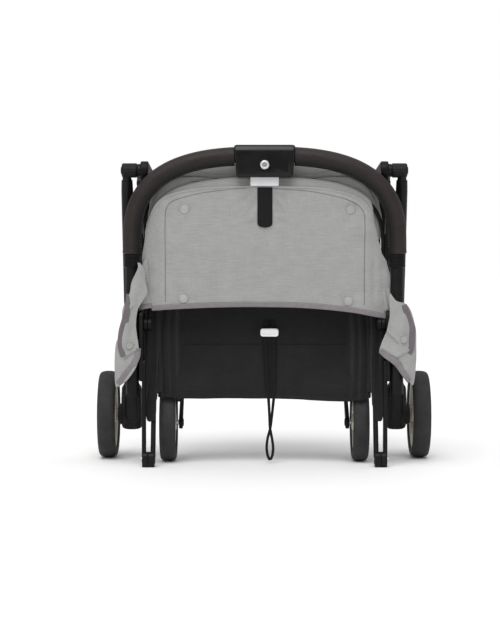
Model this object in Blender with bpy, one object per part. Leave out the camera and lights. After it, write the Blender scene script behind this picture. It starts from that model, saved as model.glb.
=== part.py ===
"""Compact travel stroller, folded and standing on its wheels and feet. Metres, +Z up, +Y is the stroller's
front, so its rear faces -Y. X is across. The origin is the middle of the floor under the folded stroller."""

from math import acos, cos, hypot, pi, radians, sin

import bmesh
import bpy
from mathutils import Vector

# Clearances
GAP = 0.0003  # between pieces that touch
PIN_R = 0.004  # pivot studs, fold pins and axles
BORE_R = PIN_R + GAP

# Pivots in the side view, as (y, z)
REAR_PIVOT = (-0.086, 0.448)
FRONT_PIVOT = (0.1015, 0.438)
ARM_PIVOT = (-0.011, 0.360)
SEAT_PIVOT = (0.109, 0.375)
SEAT_BACK_JOINT = (-0.054, 0.140)
FOLD_JOINT = (-0.111, 0.0115)
CANOPY_PIVOT = (-0.100, 0.215)
REAR_AXLE = (0.029, 0.0685)
FRONT_AXLE = (-0.026, 0.060)

# Wheels
REAR_WHEEL_R = 0.0685
REAR_TYRE_W = 0.028
REAR_TYRE_X = 0.246
FRONT_WHEEL_R = 0.060
FRONT_TYRE_W = 0.025
FRONT_TYRE_X = 0.1485
TYRE_DEPTH = 0.014
WHEEL_SEGMENTS = 24
RIM_HOLES = 5
RIM_HOLE_R = 0.010

# Planes of the fold bars and the side frame, outward from the front tyres
WHEEL_TO_ARM = 0.004
ARM_T = 0.007
ARM_TO_LINK = 0.007
LINK_T = 0.006
ARM_TO_FRAME = 0.004
FRAME_T = 0.012
ARM_IN = FRONT_TYRE_X + FRONT_TYRE_W / 2 + WHEEL_TO_ARM
ARM_OUT = ARM_IN + ARM_T
LINK_IN = ARM_OUT + ARM_TO_LINK
LINK_OUT = LINK_IN + LINK_T
FRAME_IN = ARM_OUT + ARM_TO_FRAME
FRAME_OUT = FRAME_IN + FRAME_T
LOBE_SPLIT = (ARM_OUT + LINK_IN) / 2

# Side frame and bars
FRAME_EYE_R = 0.014
BAR_HALF = 0.008
ARM_EYE_R = 0.013
# The foot at the fold joint: round places as y, z and radius from the joint, none past the bar's front edge
FOOT = ((-0.0065, -0.0055, 0.006), (0.002, -0.0075, 0.004), (-0.0025, 0.003, 0.0085))

# Rear legs
HUB_X = 0.2045
HUB_W = 0.024
HUB_R = 0.011
HUB_NECK_R = 0.0068
HUB_NECK_L = 0.034
REAR_LEG_X = 0.209
REAR_LEG_R = 0.009
TUBE_WALL = 0.0015
REAR_LEG_START = 0.0155
HOUSING_START = 0.3395
HOUSING_L = 0.077
HOUSING_HALF_W = 0.0175
HOUSING_HALF_D = 0.019
AXLE_BOSS_R = 0.0165
CROSSBAR_R = 0.008
REAR_CROSSBAR_Z = 0.165
PEDAL_X = 0.140
PEDAL_W = 0.042
PEDAL_L = 0.038

# Front legs and casters
FRONT_LEG_X = 0.197
FRONT_LEG_R = 0.0075
FRONT_EYE_R = 0.0115
FOLD_SWING_FRONT = 37.2
CASTER_TRAIL = 0.025
CASTER_BRIDGE = 0.0605
CASTER_BRIDGE_T = 0.006
CASTER_HOUSING_L = 0.031
CASTER_HOUSING_R = 0.0125
STEM_R = 0.006
FORK_ARM_T = 0.006
FORK_ARM_R = 0.010
FORK_TO_TYRE = 0.0035
FRONT_BEND_START = 0.70
FRONT_CROSSBAR_SHARE = 0.68

# Handle
HANDLE_Y = -0.109
HANDLE_TOP = 0.4686
HANDLE_SHOULDER = 0.335
HANDLE_POWER = 2.75
HANDLE_LOW = 0.110
HANDLE_R = 0.010
LINK_TO_TUBE = 0.0045
PLATE_LAP = 0.002
HANDLE_HALF = LINK_OUT + LINK_TO_TUBE + HANDLE_R
PLATE_IN = LINK_OUT - PLATE_LAP
GRIP_R = 0.0145
COLLAR_R = 0.0127
GRIP_END_Z = 0.321
COLLAR_END_Z = 0.300
HANDLE_SIDES = 10
HOUSING_TOP_HALF = 0.0467
HOUSING_BOTTOM_HALF = 0.042
HOUSING_TOP_Z = 0.4847
HOUSING_BOTTOM_Z = 0.436
HOUSING_REAR_Y = -0.1245
HOUSING_FRONT_Y = -0.0935
BUTTON_R = 0.0070
BUTTON_Z = 0.4545
BUTTON_PROUD = 0.0015
BUTTON_T = 0.0055
BUTTON_TRAVEL = 0.0025
TAB_HALF = 0.0215
TAB_T = 0.008
TAB_LOW_Z = 0.4235
TAB_TOP_Z = 0.4435
TAB_TRAVEL = 0.006

# Canopy
BOW_R = 0.003
REAR_BOW_RISE = HOUSING_BOTTOM_Z - CANOPY_PIVOT[1] - BOW_R - 2 * GAP
FRONT_BOW_RISE = 0.237
BOW_POWER = 3.0
BOW_STRAIGHT = 0.110
FRONT_BOW_TILT = 0.115
BOW_EYE_R = 0.010
BOW_EYE_T = 0.006
PANEL_HALF = 0.181
PANEL_TAPER = 0.011
PANEL_SIDE_H = 0.118
PANEL_LOW_Z = 0.229
PANEL_TOP_Z = 0.4228
PANEL_BOTTOM_RISE = 0.014
PANEL_T = 0.004
PANEL_BULGE = 0.0045
STRAP_HALF = 0.0113
STRAP_TOP_Z = 0.4205
STRAP_LOW_Z = 0.361
FLAP_T = 0.0035
FLAP_FOLD = 0.0007
# Rows of each side flap, as height, inner edge and outer edge, the edges measured from the handle tube
LEFT_FLAP = (
    (0.252, 0.0005, 0.0125), (0.206, -0.0065, 0.0182), (0.184, -0.0100, 0.0245), (0.160, -0.0095, 0.0267),
    (0.136, 0.0050, 0.0267), (0.118, 0.0220, 0.0250),
)
RIGHT_FLAP = (
    (0.258, -0.0155, -0.0035), (0.240, -0.0155, 0.0100), (0.206, -0.0245, 0.0220), (0.184, -0.0335, 0.0255),
    (0.162, -0.0135, 0.0267), (0.143, 0.0110, 0.0267), (0.125, 0.0200, 0.0230),
)

# Seat and back
SEAT_HALF = 0.128
BOARD_T = 0.006
SLEEVE_R = 0.0122
SEAT_SLEEVE_HALF = 0.088
SLEEVE_TO_BOARD = 0.004
REST_SLEEVE_IN = 0.103
REST_SLEEVE_OUT = 0.124
PAD_HALF = 0.121
PAD_T = 0.0135
PAD_LIFT = 0.0004
BACK_LENGTH = 0.295
BACK_TILT = 90.5
BACK_START = 0.0095
BACK_BOARD_T = 0.005
COVER_LOW_Z = 0.100
COVER_TOP_Z = 0.432
COVER_HALF = 0.137
WING_HALF = 0.1625
WING_TOP_Z = 0.330
COVER_T = 0.004
COVER_CORNER_Z = 0.155
FOLD_PITCH = 0.015
WING_SETBACK = 0.0155
SLIDER_X = 0.0077
SLIDER_Z = 0.2013
SLIDER_W = 0.0278
SLIDER_H = 0.0124
WEBBING_T = 0.0016
LEG_REST_L = 0.147
LEG_REST_HALF = 0.120
LEG_REST_PAD_T = 0.0145
BASKET_HALF = 0.116
BASKET_LOW_Z = 0.108
BASKET_T = 0.003
BUCKLE_W = 0.046
BUCKLE_L = 0.052
BUCKLE_T = 0.012


# Materials

def material(name, colour, roughness, metallic=0.0):
    made = bpy.data.materials.get(name)
    if made:
        return made
    made = bpy.data.materials.new(name)
    made.use_nodes = True
    shader = made.node_tree.nodes["Principled BSDF"]
    shader.inputs["Base Color"].default_value = (*colour, 1.0)
    shader.inputs["Roughness"].default_value = roughness
    shader.inputs["Metallic"].default_value = metallic
    return made


def black_metal():
    return material("black_metal", (0.02, 0.02, 0.022), 0.45, 0.9)


def black_plastic():
    return material("black_plastic", (0.025, 0.025, 0.027), 0.5)


def black_fabric():
    return material("black_fabric", (0.02, 0.02, 0.021), 0.9)


def grey_fabric():
    return material("grey_fabric", (0.38, 0.38, 0.37), 0.85)


def leatherette():
    return material("leatherette", (0.085, 0.06, 0.055), 0.5)


def tyre_rubber():
    return material("tyre_rubber", (0.03, 0.03, 0.03), 0.8)


def rim_plastic():
    return material("rim_plastic", (0.52, 0.50, 0.42), 0.4)


def steel():
    return material("steel", (0.6, 0.6, 0.6), 0.3, 1.0)


def off_white():
    return material("off_white", (0.75, 0.75, 0.74), 0.4)


# Mesh helpers

def finish(name, mesh_data, surface, carrier):
    """Makes the object from a bmesh, faces out, with its place under the carrying body's empty."""
    bmesh.ops.remove_doubles(mesh_data, verts=mesh_data.verts, dist=0.000001)
    bmesh.ops.recalc_face_normals(mesh_data, faces=mesh_data.faces)
    mesh = bpy.data.meshes.new(name)
    mesh_data.to_mesh(mesh)
    mesh_data.free()
    mesh.materials.append(surface)
    piece = bpy.data.objects.new(name, mesh)
    bpy.context.scene.collection.objects.link(piece)
    piece.parent = carrier
    piece.location = -Vector(carrier["axis_point"])
    for polygon in mesh.polygons:
        polygon.use_smooth = True
    mesh.set_sharp_from_angle(angle=radians(35))
    return piece


def skin(rings, loop=False):
    """A bmesh through rings of points that all have the same count; loop joins the last ring to the first."""
    made = bmesh.new()
    rows = [[made.verts.new(point) for point in ring] for ring in rings]
    pairs = list(zip(rows, rows[1:]))
    if loop:
        pairs.append((rows[-1], rows[0]))
    for low, high in pairs:
        count = len(low)
        for i in range(count):
            made.faces.new((low[i], low[(i + 1) % count], high[(i + 1) % count], high[i]))
    if not loop:
        made.faces.new(rows[0])
        made.faces.new(rows[-1])
    return made


def prism(outline, low, high, across="x"):
    """Extrudes an outline along one axis: for x the outline is (y, z), for y it is (x, z)."""
    def place(a, b, c):
        return (c, a, b) if across == "x" else (a, c, b)
    return skin([[place(a, b, c) for a, b in outline] for c in (low, high)])


def circle_points(centre, radius, count, start=0.0):
    return [
        (centre[0] + radius * cos(start + 2 * pi * i / count),
         centre[1] + radius * sin(start + 2 * pi * i / count))
        for i in range(count)
    ]


def hull_outline(circles, count=16, floor=None):
    """The convex outline round circles given as (y, z, radius), cut flat at the floor where one is given."""
    points = [p for y, z, r in circles for p in circle_points((y, z), r, count)]
    if floor is not None:
        points = [(a, max(b, floor)) for a, b in points]
    points = sorted(set((round(a, 7), round(b, 7)) for a, b in points))

    def half(sequence):
        chain = []
        for p in sequence:
            while len(chain) > 1:
                (ax, ay), (bx, by) = chain[-2], chain[-1]
                if (bx - ax) * (p[1] - ay) - (by - ay) * (p[0] - ax) > 1e-12:
                    break
                chain.pop()
            chain.append(p)
        return chain[:-1]

    return half(points) + half(points[::-1])


def rounded_outline(corners, radius, steps=3):
    """A polygon with each corner replaced by a short arc."""
    outline = []
    count = len(corners)
    for i in range(count):
        corner = Vector(corners[i])
        before = (Vector(corners[i - 1]) - corner).normalized()
        after = (Vector(corners[(i + 1) % count]) - corner).normalized()
        angle = acos(max(-1.0, min(1.0, before.dot(after))))
        reach = radius / max(0.2, abs(sin(angle / 2) / cos(angle / 2)))
        start = corner + before * reach
        end = corner + after * reach
        for k in range(steps + 1):
            t = k / steps
            outline.append(tuple((1 - t) ** 2 * start + 2 * t * (1 - t) * corner + t ** 2 * end))
    return outline


def turned(profile, centre, count=12, start=0.0):
    """A solid turned about an axis along X through centre (y, z). profile is a list of (x, radius)."""
    rings = [[(x, *p) for p in circle_points(centre, radius, count, start)] for x, radius in profile]
    return skin(rings)


def ring_turned(profile, centre, count, start=0.0):
    """A ring turned about an axis along X, from a closed profile of (x, radius) that stays off the axis."""
    rings = []
    for i in range(count):
        angle = start + 2 * pi * i / count
        rings.append([(x, centre[0] + r * cos(angle), centre[1] + r * sin(angle)) for x, r in profile])
    return skin(rings, loop=True)


def rod(a, b, radius, count=12):
    """A plain round bar between two points."""
    a, b = Vector(a), Vector(b)
    along = (b - a).normalized()
    side = along.orthogonal().normalized()
    other = along.cross(side)
    rings = []
    for point in (a, b):
        rings.append([
            point + radius * (cos(2 * pi * i / count) * side + sin(2 * pi * i / count) * other)
            for i in range(count)
        ])
    return skin(rings)


def sweep(path, binormal, radius, count, phase=0.0):
    """The rings of a round section along a path that lies in the plane square to binormal."""
    binormal = Vector(binormal).normalized()
    rings = []
    last = len(path) - 1
    for i, point in enumerate(path):
        tangent = (Vector(path[min(i + 1, last)]) - Vector(path[max(i - 1, 0)])).normalized()
        normal = tangent.cross(binormal).normalized()
        rings.append([
            Vector(point) + radius * (
                cos(phase + 2 * pi * k / count) * normal + sin(phase + 2 * pi * k / count) * binormal
            )
            for k in range(count)
        ])
    return rings


def bar(path, binormal, radius, count=8):
    return skin(sweep(path, binormal, radius, count))


def tube(path, binormal, outer, inner, count=12):
    """A hollow tube with open ends."""
    outside = sweep(path, binormal, outer, count)
    inside = sweep(path, binormal, inner, count)
    return skin(outside + inside[::-1], loop=True)


def block(low, high):
    corners = [(low[0], low[1]), (high[0], low[1]), (high[0], high[1]), (low[0], high[1])]
    return skin([[(x, y, z) for x, y in corners] for z in (low[2], high[2])])


def tool(name, mesh_data, owner):
    """A hidden shape that a Boolean on its owner uses."""
    bmesh.ops.recalc_face_normals(mesh_data, faces=mesh_data.faces)
    mesh = bpy.data.meshes.new(name)
    mesh_data.to_mesh(mesh)
    mesh_data.free()
    shape = bpy.data.objects.new(name, mesh)
    bpy.context.scene.collection.objects.link(shape)
    shape.parent = owner
    shape.matrix_parent_inverse.identity()
    shape.hide_render = True
    shape.display_type = "WIRE"
    return shape


def boolean(piece, mesh_data, operation):
    label = f"{piece.name}_{operation.lower()}_{len(piece.modifiers)}"
    modifier = piece.modifiers.new(label, "BOOLEAN")
    modifier.operation = operation
    modifier.solver = "EXACT"
    modifier.object = tool(label, mesh_data, piece)


def cut(piece, mesh_data):
    boolean(piece, mesh_data, "DIFFERENCE")


def join(piece, mesh_data):
    boolean(piece, mesh_data, "UNION")


def along(start, direction, distance):
    return (start[0] + direction[0] * distance, start[1] + direction[1] * distance)


def unit(start, end):
    length = hypot(end[0] - start[0], end[1] - start[1])
    return ((end[0] - start[0]) / length, (end[1] - start[1]) / length), length


def stations(start, end, count):
    return [start + (end - start) * i / count for i in range(count + 1)]


def smooth_step(t):
    t = max(0.0, min(1.0, t))
    return t * t * (3 - 2 * t)


def body(name, point=(0.0, 0.0, 0.0)):
    """An empty on a body's joint axis, which carries the body's pieces."""
    empty = bpy.data.objects.new(name, None)
    bpy.context.scene.collection.objects.link(empty)
    empty.location = point
    empty.empty_display_size = 0.02
    empty["axis_point"] = point
    return empty


def on_side(pivot):
    return (0.0, pivot[0], pivot[1])


# Root: side frames and the seat cross tube

def side_frame(side, root):
    outline = hull_outline([
        (*REAR_PIVOT, FRAME_EYE_R),
        (*FRONT_PIVOT, FRAME_EYE_R),
        (*SEAT_PIVOT, FRAME_EYE_R),
        (*ARM_PIVOT, FRAME_EYE_R),
    ])
    sign = 1 if side == "r" else -1
    plate = prism(outline, sign * FRAME_IN, sign * FRAME_OUT)
    piece = finish(f"side_frame_{side}", plate, black_plastic(), root)
    hub_in = HUB_X - HUB_W / 2
    boss = [(sign * (FRAME_OUT - 0.003), 0.010), (sign * (hub_in - GAP), 0.010)]
    rear_stud = [(sign * (FRAME_OUT - 0.004), PIN_R), (sign * (hub_in + HUB_W - 0.003), PIN_R)]
    front_stud = [(sign * (FRAME_OUT - 0.003), PIN_R), (sign * (FRONT_LEG_X + FRONT_LEG_R), PIN_R)]
    arm_stud = [(sign * (FRAME_IN + 0.003), PIN_R), (sign * ARM_IN, PIN_R)]
    join(piece, turned(boss, REAR_PIVOT))
    join(piece, turned(rear_stud, REAR_PIVOT))
    join(piece, turned(front_stud, FRONT_PIVOT))
    join(piece, turned(arm_stud, ARM_PIVOT))


def seat_crossbar(root):
    half = FRAME_IN - GAP
    path = [(-half, *SEAT_PIVOT), (half, *SEAT_PIVOT)]
    finish("seat_crossbar", tube(path, (0, 0, 1), CROSSBAR_R, CROSSBAR_R - TUBE_WALL), black_metal(), root)


# Rear legs

REAR_LEG_DIR, REAR_LEG_LENGTH = unit(REAR_PIVOT, REAR_AXLE)


def rear_leg_point(x, distance):
    return (x, *along(REAR_PIVOT, REAR_LEG_DIR, distance))


def rear_hub(side, legs):
    sign = 1 if side == "r" else -1
    low, high = HUB_X - HUB_W / 2, HUB_X + HUB_W / 2
    edge = 0.0022
    profile = [(low, HUB_R - edge), (low + edge, HUB_R), (high - edge, HUB_R), (high, HUB_R - edge)]
    piece = finish(
        f"rear_hub_{side}", turned([(sign * x, r) for x, r in profile], REAR_PIVOT, 20), black_plastic(), legs
    )
    neck = [rear_leg_point(sign * REAR_LEG_X, 0.004), rear_leg_point(sign * REAR_LEG_X, HUB_NECK_L)]
    join(piece, rod(*neck, HUB_NECK_R))
    cut(piece, turned([(sign * (low - 0.002), BORE_R), (sign * (high - 0.003 + GAP), BORE_R)], REAR_PIVOT))


def rear_leg(side, legs):
    x = REAR_LEG_X if side == "r" else -REAR_LEG_X
    path = [rear_leg_point(x, REAR_LEG_START), rear_leg_point(x, HOUSING_START - GAP)]
    finish(
        f"rear_leg_{side}", tube(path, (1, 0, 0), REAR_LEG_R, REAR_LEG_R - TUBE_WALL, 14), black_metal(), legs
    )


def axle_housing(side, legs):
    sign = 1 if side == "r" else -1
    spigot_r = REAR_LEG_R - TUBE_WALL - GAP * 2
    across = (-REAR_LEG_DIR[1], REAR_LEG_DIR[0])

    def section(distance, half_w, half_d, power):
        centre = along(REAR_PIVOT, REAR_LEG_DIR, distance)
        ring = []
        for i in range(16):
            angle = 2 * pi * (i + 0.5) / 16
            a, b = cos(angle), sin(angle)
            scale = (abs(a) ** power + abs(b) ** power) ** (-1 / power)
            shift = b * scale * half_d
            x = sign * (REAR_LEG_X - 0.0005) + a * scale * half_w
            ring.append((x, centre[0] + across[0] * shift, centre[1] + across[1] * shift))
        return ring

    end = HOUSING_START + HOUSING_L
    rings = [
        section(HOUSING_START - 0.015, spigot_r, spigot_r, 2),
        section(HOUSING_START, spigot_r, spigot_r, 2),
        section(HOUSING_START, REAR_LEG_R + 0.003, REAR_LEG_R + 0.003, 3),
        section(HOUSING_START + 0.012, HOUSING_HALF_W - 0.001, HOUSING_HALF_D - 0.003, 4),
        section(HOUSING_START + 0.032, HOUSING_HALF_W, HOUSING_HALF_D, 5),
        section(end - 0.002, HOUSING_HALF_W, HOUSING_HALF_D, 5),
        section(end, HOUSING_HALF_W - 0.002, HOUSING_HALF_D - 0.002, 5),
    ]
    piece = finish(f"axle_housing_{side}", skin(rings), black_plastic(), legs)
    wheel_side = REAR_TYRE_X - REAR_TYRE_W / 2 - 0.001
    join(piece, turned([(sign * REAR_LEG_X, AXLE_BOSS_R), (sign * wheel_side, AXLE_BOSS_R)], REAR_AXLE, 20))
    cut(piece, turned([(sign * 0.195, BORE_R), (sign * (wheel_side + 0.005), BORE_R)], REAR_AXLE))


def rear_axle(side, legs):
    sign = 1 if side == "r" else -1
    head = REAR_TYRE_X + REAR_TYRE_W / 2 - 0.0045
    profile = [(0.1955, PIN_R), (head, PIN_R), (head, 0.0078), (head + 0.0026, 0.0070)]
    finish(f"rear_axle_{side}", turned([(sign * x, r) for x, r in profile], REAR_AXLE), steel(), legs)


def crossbar_place(z):
    share = (REAR_PIVOT[1] - z) / -REAR_LEG_DIR[1]
    return along(REAR_PIVOT, REAR_LEG_DIR, share)


def rear_crossbar(legs):
    place = crossbar_place(REAR_CROSSBAR_Z)
    half = REAR_LEG_X - REAR_LEG_R - GAP
    path = [(-half, *place), (half, *place)]
    finish("rear_crossbar", tube(path, (0, 0, 1), CROSSBAR_R, CROSSBAR_R - TUBE_WALL), black_metal(), legs)


def brake_pedal(pedal):
    y, z = crossbar_place(REAR_CROSSBAR_Z)
    inner = CROSSBAR_R + GAP
    outer = inner + 0.0035
    low, high = PEDAL_X - PEDAL_W / 2, PEDAL_X + PEDAL_W / 2
    piece = finish("brake_pedal", turned([(low, outer), (high, outer)], (y, z), 20), black_plastic(), pedal)
    paddle = rounded_outline([
        (y - 0.003, z - 0.004), (y + 0.004, z - 0.004), (y + 0.005, z - PEDAL_L), (y - 0.002, z - PEDAL_L)
    ], 0.002)
    join(piece, prism(paddle, low + 0.002, high - 0.002))
    cut(piece, turned([(low - 0.005, inner), (high + 0.005, inner)], (y, z), 12, 0.0))


# Wheels

def tyre(name, x, width, radius, centre, wheel):
    """A tyre whose facets, not its corners, are at its radius, so it stands on a flat."""
    outer = radius / cos(pi / WHEEL_SEGMENTS)
    inner = outer - TYRE_DEPTH
    half = width / 2
    wall, shoulder = inner + 0.005, outer - 0.0035
    profile = [
        (x - half * 0.75, inner), (x - half, wall), (x - half * 0.86, shoulder), (x - half * 0.4, outer),
        (x + half * 0.4, outer), (x + half * 0.86, shoulder), (x + half, wall), (x + half * 0.75, inner),
    ]
    start = -pi / 2 + pi / WHEEL_SEGMENTS
    finish(name, ring_turned(profile, centre, WHEEL_SEGMENTS, start), tyre_rubber(), wheel)


def rim(name, x, width, radius, centre, wheel, inward):
    outer = radius / cos(pi / WHEEL_SEGMENTS) - TYRE_DEPTH - GAP
    half = width / 2
    hub = 0.0125
    web = 0.003
    lip = outer - 0.0042
    bore = BORE_R / cos(pi / WHEEL_SEGMENTS)
    long_side = inward * (half - 0.0008)
    short_side = -inward * (half - 0.0052)
    left, right = min(long_side, short_side), max(long_side, short_side)
    profile = [
        (x + left, bore), (x + left, hub), (x - web, hub + 0.001), (x - web, lip - 0.001),
        (x - half * 0.75, lip + 0.0015), (x - half * 0.75, outer), (x + half * 0.75, outer),
        (x + half * 0.75, lip + 0.0015), (x + web, lip - 0.001), (x + web, hub + 0.001), (x + right, hub),
        (x + right, bore),
    ]
    start = -pi / 2 + pi / WHEEL_SEGMENTS
    piece = finish(name, ring_turned(profile, centre, WHEEL_SEGMENTS, start), rim_plastic(), wheel)
    middle = (hub + lip) / 2
    for i in range(RIM_HOLES):
        angle = pi / 2 + 2 * pi * i / RIM_HOLES
        spot = (centre[0] + middle * cos(angle), centre[1] + middle * sin(angle))
        cut(piece, turned([(x - 0.02, RIM_HOLE_R), (x + 0.02, RIM_HOLE_R)], spot, 8))


# Front legs and casters

CASTER_UP = (sin(radians(FOLD_SWING_FRONT)), cos(radians(FOLD_SWING_FRONT)))
CASTER_AHEAD = (CASTER_UP[1], -CASTER_UP[0])
CASTER_FOOT = along(FRONT_AXLE, CASTER_AHEAD, CASTER_TRAIL)
HOUSING_LOW = CASTER_BRIDGE + CASTER_BRIDGE_T + GAP
STEM_TOP = HOUSING_LOW + CASTER_HOUSING_L - 0.007


def caster_point(up, ahead=0.0):
    return along(along(CASTER_FOOT, CASTER_UP, up), CASTER_AHEAD, ahead)


LEG_END = caster_point(HOUSING_LOW + CASTER_HOUSING_L * 0.75)
FRONT_LEG_DIR, FRONT_LEG_LENGTH = unit(FRONT_PIVOT, LEG_END)


def front_leg_x(share):
    inward = smooth_step((share - FRONT_BEND_START) / (0.98 - FRONT_BEND_START))
    return FRONT_LEG_X + (FRONT_TYRE_X - FRONT_LEG_X) * inward


def front_leg_place(share):
    return along(FRONT_PIVOT, FRONT_LEG_DIR, FRONT_LEG_LENGTH * share)


def front_leg(side, legs):
    sign = 1 if side == "r" else -1
    shares = [0.0] + stations(FRONT_BEND_START, 1.0, 8)
    path = [(sign * front_leg_x(share), *front_leg_place(share)) for share in shares]
    square = (0.0, -FRONT_LEG_DIR[1], FRONT_LEG_DIR[0])
    piece = finish(f"front_leg_{side}", bar(path, square, FRONT_LEG_R, 10), black_metal(), legs)
    low, high = FRAME_OUT + 0.001, FRONT_LEG_X + FRONT_LEG_R + 0.0005
    join(piece, turned([(sign * low, FRONT_EYE_R), (sign * high, FRONT_EYE_R)], FRONT_PIVOT, 14))
    x = sign * FRONT_TYRE_X
    housing = [(x, *caster_point(HOUSING_LOW)), (x, *caster_point(HOUSING_LOW + CASTER_HOUSING_L))]
    join(piece, rod(*housing, CASTER_HOUSING_R, 14))
    cut(piece, turned([(sign * (low - 0.003), BORE_R), (sign * (high + 0.003), BORE_R)], FRONT_PIVOT))
    bore = [(x, *caster_point(HOUSING_LOW - 0.004)), (x, *caster_point(STEM_TOP + GAP))]
    cut(piece, rod(*bore, STEM_R + GAP, 12))


def front_crossbar(legs):
    place = front_leg_place(FRONT_CROSSBAR_SHARE)
    half = front_leg_x(FRONT_CROSSBAR_SHARE) - FRONT_LEG_R - GAP
    path = [(-half, *place), (half, *place)]
    finish("front_crossbar", tube(path, (0, 0, 1), CROSSBAR_R - 0.001, CROSSBAR_R - 0.001 - TUBE_WALL),
           black_metal(), legs)


def front_fork(side, fork):
    sign = 1 if side == "r" else -1
    outer = FRONT_TYRE_X - FRONT_TYRE_W / 2 - FORK_TO_TYRE
    inner = outer - FORK_ARM_T
    top = caster_point(CASTER_BRIDGE + CASTER_BRIDGE_T / 2, -0.004)
    arm = hull_outline([(*FRONT_AXLE, FORK_ARM_R), (*top, CASTER_BRIDGE_T / 2)])
    piece = finish(f"front_fork_{side}", prism(arm, sign * inner, sign * outer), black_plastic(), fork)
    low, high = CASTER_BRIDGE, CASTER_BRIDGE + CASTER_BRIDGE_T
    corners = ((low, -0.011), (low, 0.011), (high, 0.011), (high, -0.011))
    bridge = [caster_point(up, ahead) for up, ahead in corners]
    join(piece, prism(bridge, sign * (inner + 0.0006), sign * (FRONT_TYRE_X + 0.011)))
    x = sign * FRONT_TYRE_X
    stem = [(x, *caster_point(CASTER_BRIDGE + 0.002)), (x, *caster_point(STEM_TOP))]
    join(piece, rod(*stem, STEM_R, 12))
    end = ARM_IN - 0.0018
    join(piece, turned([(sign * (inner + 0.001), PIN_R), (sign * end, PIN_R)], FRONT_AXLE))


# Fold bars

def foot_outline():
    heel = [(FOLD_JOINT[0] + y, FOLD_JOINT[1] + z, r) for y, z, r in FOOT]
    return hull_outline([(*FOLD_JOINT, BAR_HALF)] + heel, 20, 0.0)


def lower_arm(side, arms):
    sign = 1 if side == "r" else -1
    outline = hull_outline([(*ARM_PIVOT, BAR_HALF), (*FOLD_JOINT, BAR_HALF)])
    piece = finish(f"lower_arm_{side}", prism(outline, sign * ARM_IN, sign * ARM_OUT), black_metal(), arms)
    eye = [(sign * (ARM_IN + 0.0004), ARM_EYE_R), (sign * (FRAME_IN - GAP), ARM_EYE_R)]
    join(piece, turned(eye, ARM_PIVOT, 20))
    join(piece, prism(foot_outline(), sign * (ARM_IN + 0.001), sign * (LOBE_SPLIT - GAP / 2)))
    for pivot in (ARM_PIVOT, FOLD_JOINT):
        cut(piece, turned([(sign * (ARM_IN - 0.004), BORE_R), (sign * (FRAME_IN + 0.004), BORE_R)], pivot))


def fold_pin(side, arms):
    sign = 1 if side == "r" else -1
    profile = [(sign * (ARM_IN - 0.0008), PIN_R), (sign * (LINK_OUT + 0.0012), PIN_R)]
    finish(f"fold_pin_{side}", turned(profile, FOLD_JOINT), steel(), arms)


def handle_link(side, handle):
    sign = 1 if side == "r" else -1
    knee = (HANDLE_Y, 0.155)
    outline = hull_outline([(*FOLD_JOINT, BAR_HALF), (*knee, BAR_HALF)])
    bar = prism(outline, sign * LINK_IN, sign * LINK_OUT)
    piece = finish(f"handle_link_{side}", bar, black_metal(), handle)
    join(piece, prism(foot_outline(), sign * (LOBE_SPLIT + GAP / 2), sign * (LINK_OUT - 0.0006)))
    tube_side = HANDLE_HALF - HANDLE_R - GAP
    plate = hull_outline([
        (HANDLE_Y, 0.138, 0.009), (HANDLE_Y, CANOPY_PIVOT[1] + 0.012, 0.009), (*CANOPY_PIVOT, 0.0095)
    ])
    join(piece, prism(plate, sign * PLATE_IN, sign * tube_side))
    eyes_in = PLATE_IN - 2 * (BOW_EYE_T + 2 * GAP)
    join(piece, turned([(sign * (PLATE_IN + PLATE_LAP), PIN_R), (sign * eyes_in, PIN_R)], CANOPY_PIVOT))
    cut(piece, turned([(sign * (ARM_IN - 0.004), BORE_R), (sign * (LINK_OUT + 0.004), BORE_R)], FOLD_JOINT))


# Handle

def handle_half_path():
    """Points down the right half of the handle's centre line, from its middle to its low end."""
    fine = []
    steps = 400
    rise = HANDLE_TOP - HANDLE_SHOULDER
    for i in range(steps + 1):
        angle = pi / 2 * (1 - i / steps)
        x = HANDLE_HALF * max(0.0, cos(angle)) ** (2 / HANDLE_POWER)
        z = HANDLE_SHOULDER + rise * max(0.0, sin(angle)) ** (2 / HANDLE_POWER)
        fine.append(Vector((x, HANDLE_Y, z)))
    fine[0] = Vector((0.0, HANDLE_Y, HANDLE_TOP))
    fine[-1] = Vector((HANDLE_HALF, HANDLE_Y, HANDLE_SHOULDER))
    fine.append(Vector((HANDLE_HALF, HANDLE_Y, HANDLE_LOW)))
    return fine


HANDLE_FINE = handle_half_path()


def handle_at(distance):
    left = distance
    for a, b in zip(HANDLE_FINE, HANDLE_FINE[1:]):
        step = (b - a).length
        if left <= step:
            return a.lerp(b, left / step)
        left -= step
    return HANDLE_FINE[-1].copy()


def handle_distance_at_height(z):
    """How far down the path the straight side passes a height."""
    total = sum((b - a).length for a, b in zip(HANDLE_FINE, HANDLE_FINE[1:]))
    return total - (z - HANDLE_LOW)


GRIP_START = HOUSING_TOP_HALF + 0.0012
GRIP_STATIONS = stations(GRIP_START, handle_distance_at_height(GRIP_END_Z), 10)
COLLAR_STATIONS = [handle_distance_at_height(GRIP_END_Z - GAP), handle_distance_at_height(COLLAR_END_Z)]
TUBE_STATIONS = [0.0] + GRIP_STATIONS + COLLAR_STATIONS + [handle_distance_at_height(HANDLE_LOW)]


def half_points(distances, sign):
    return [(sign * p.x, p.y, p.z) for p in (handle_at(d) for d in distances)]


def handle_tube(handle):
    left = half_points(TUBE_STATIONS[::-1], -1)
    path = left[:-1] + half_points(TUBE_STATIONS, 1)
    arch = tube(path, (0, 1, 0), HANDLE_R, HANDLE_R - TUBE_WALL, HANDLE_SIDES)
    finish("handle_tube", arch, black_metal(), handle)


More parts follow.
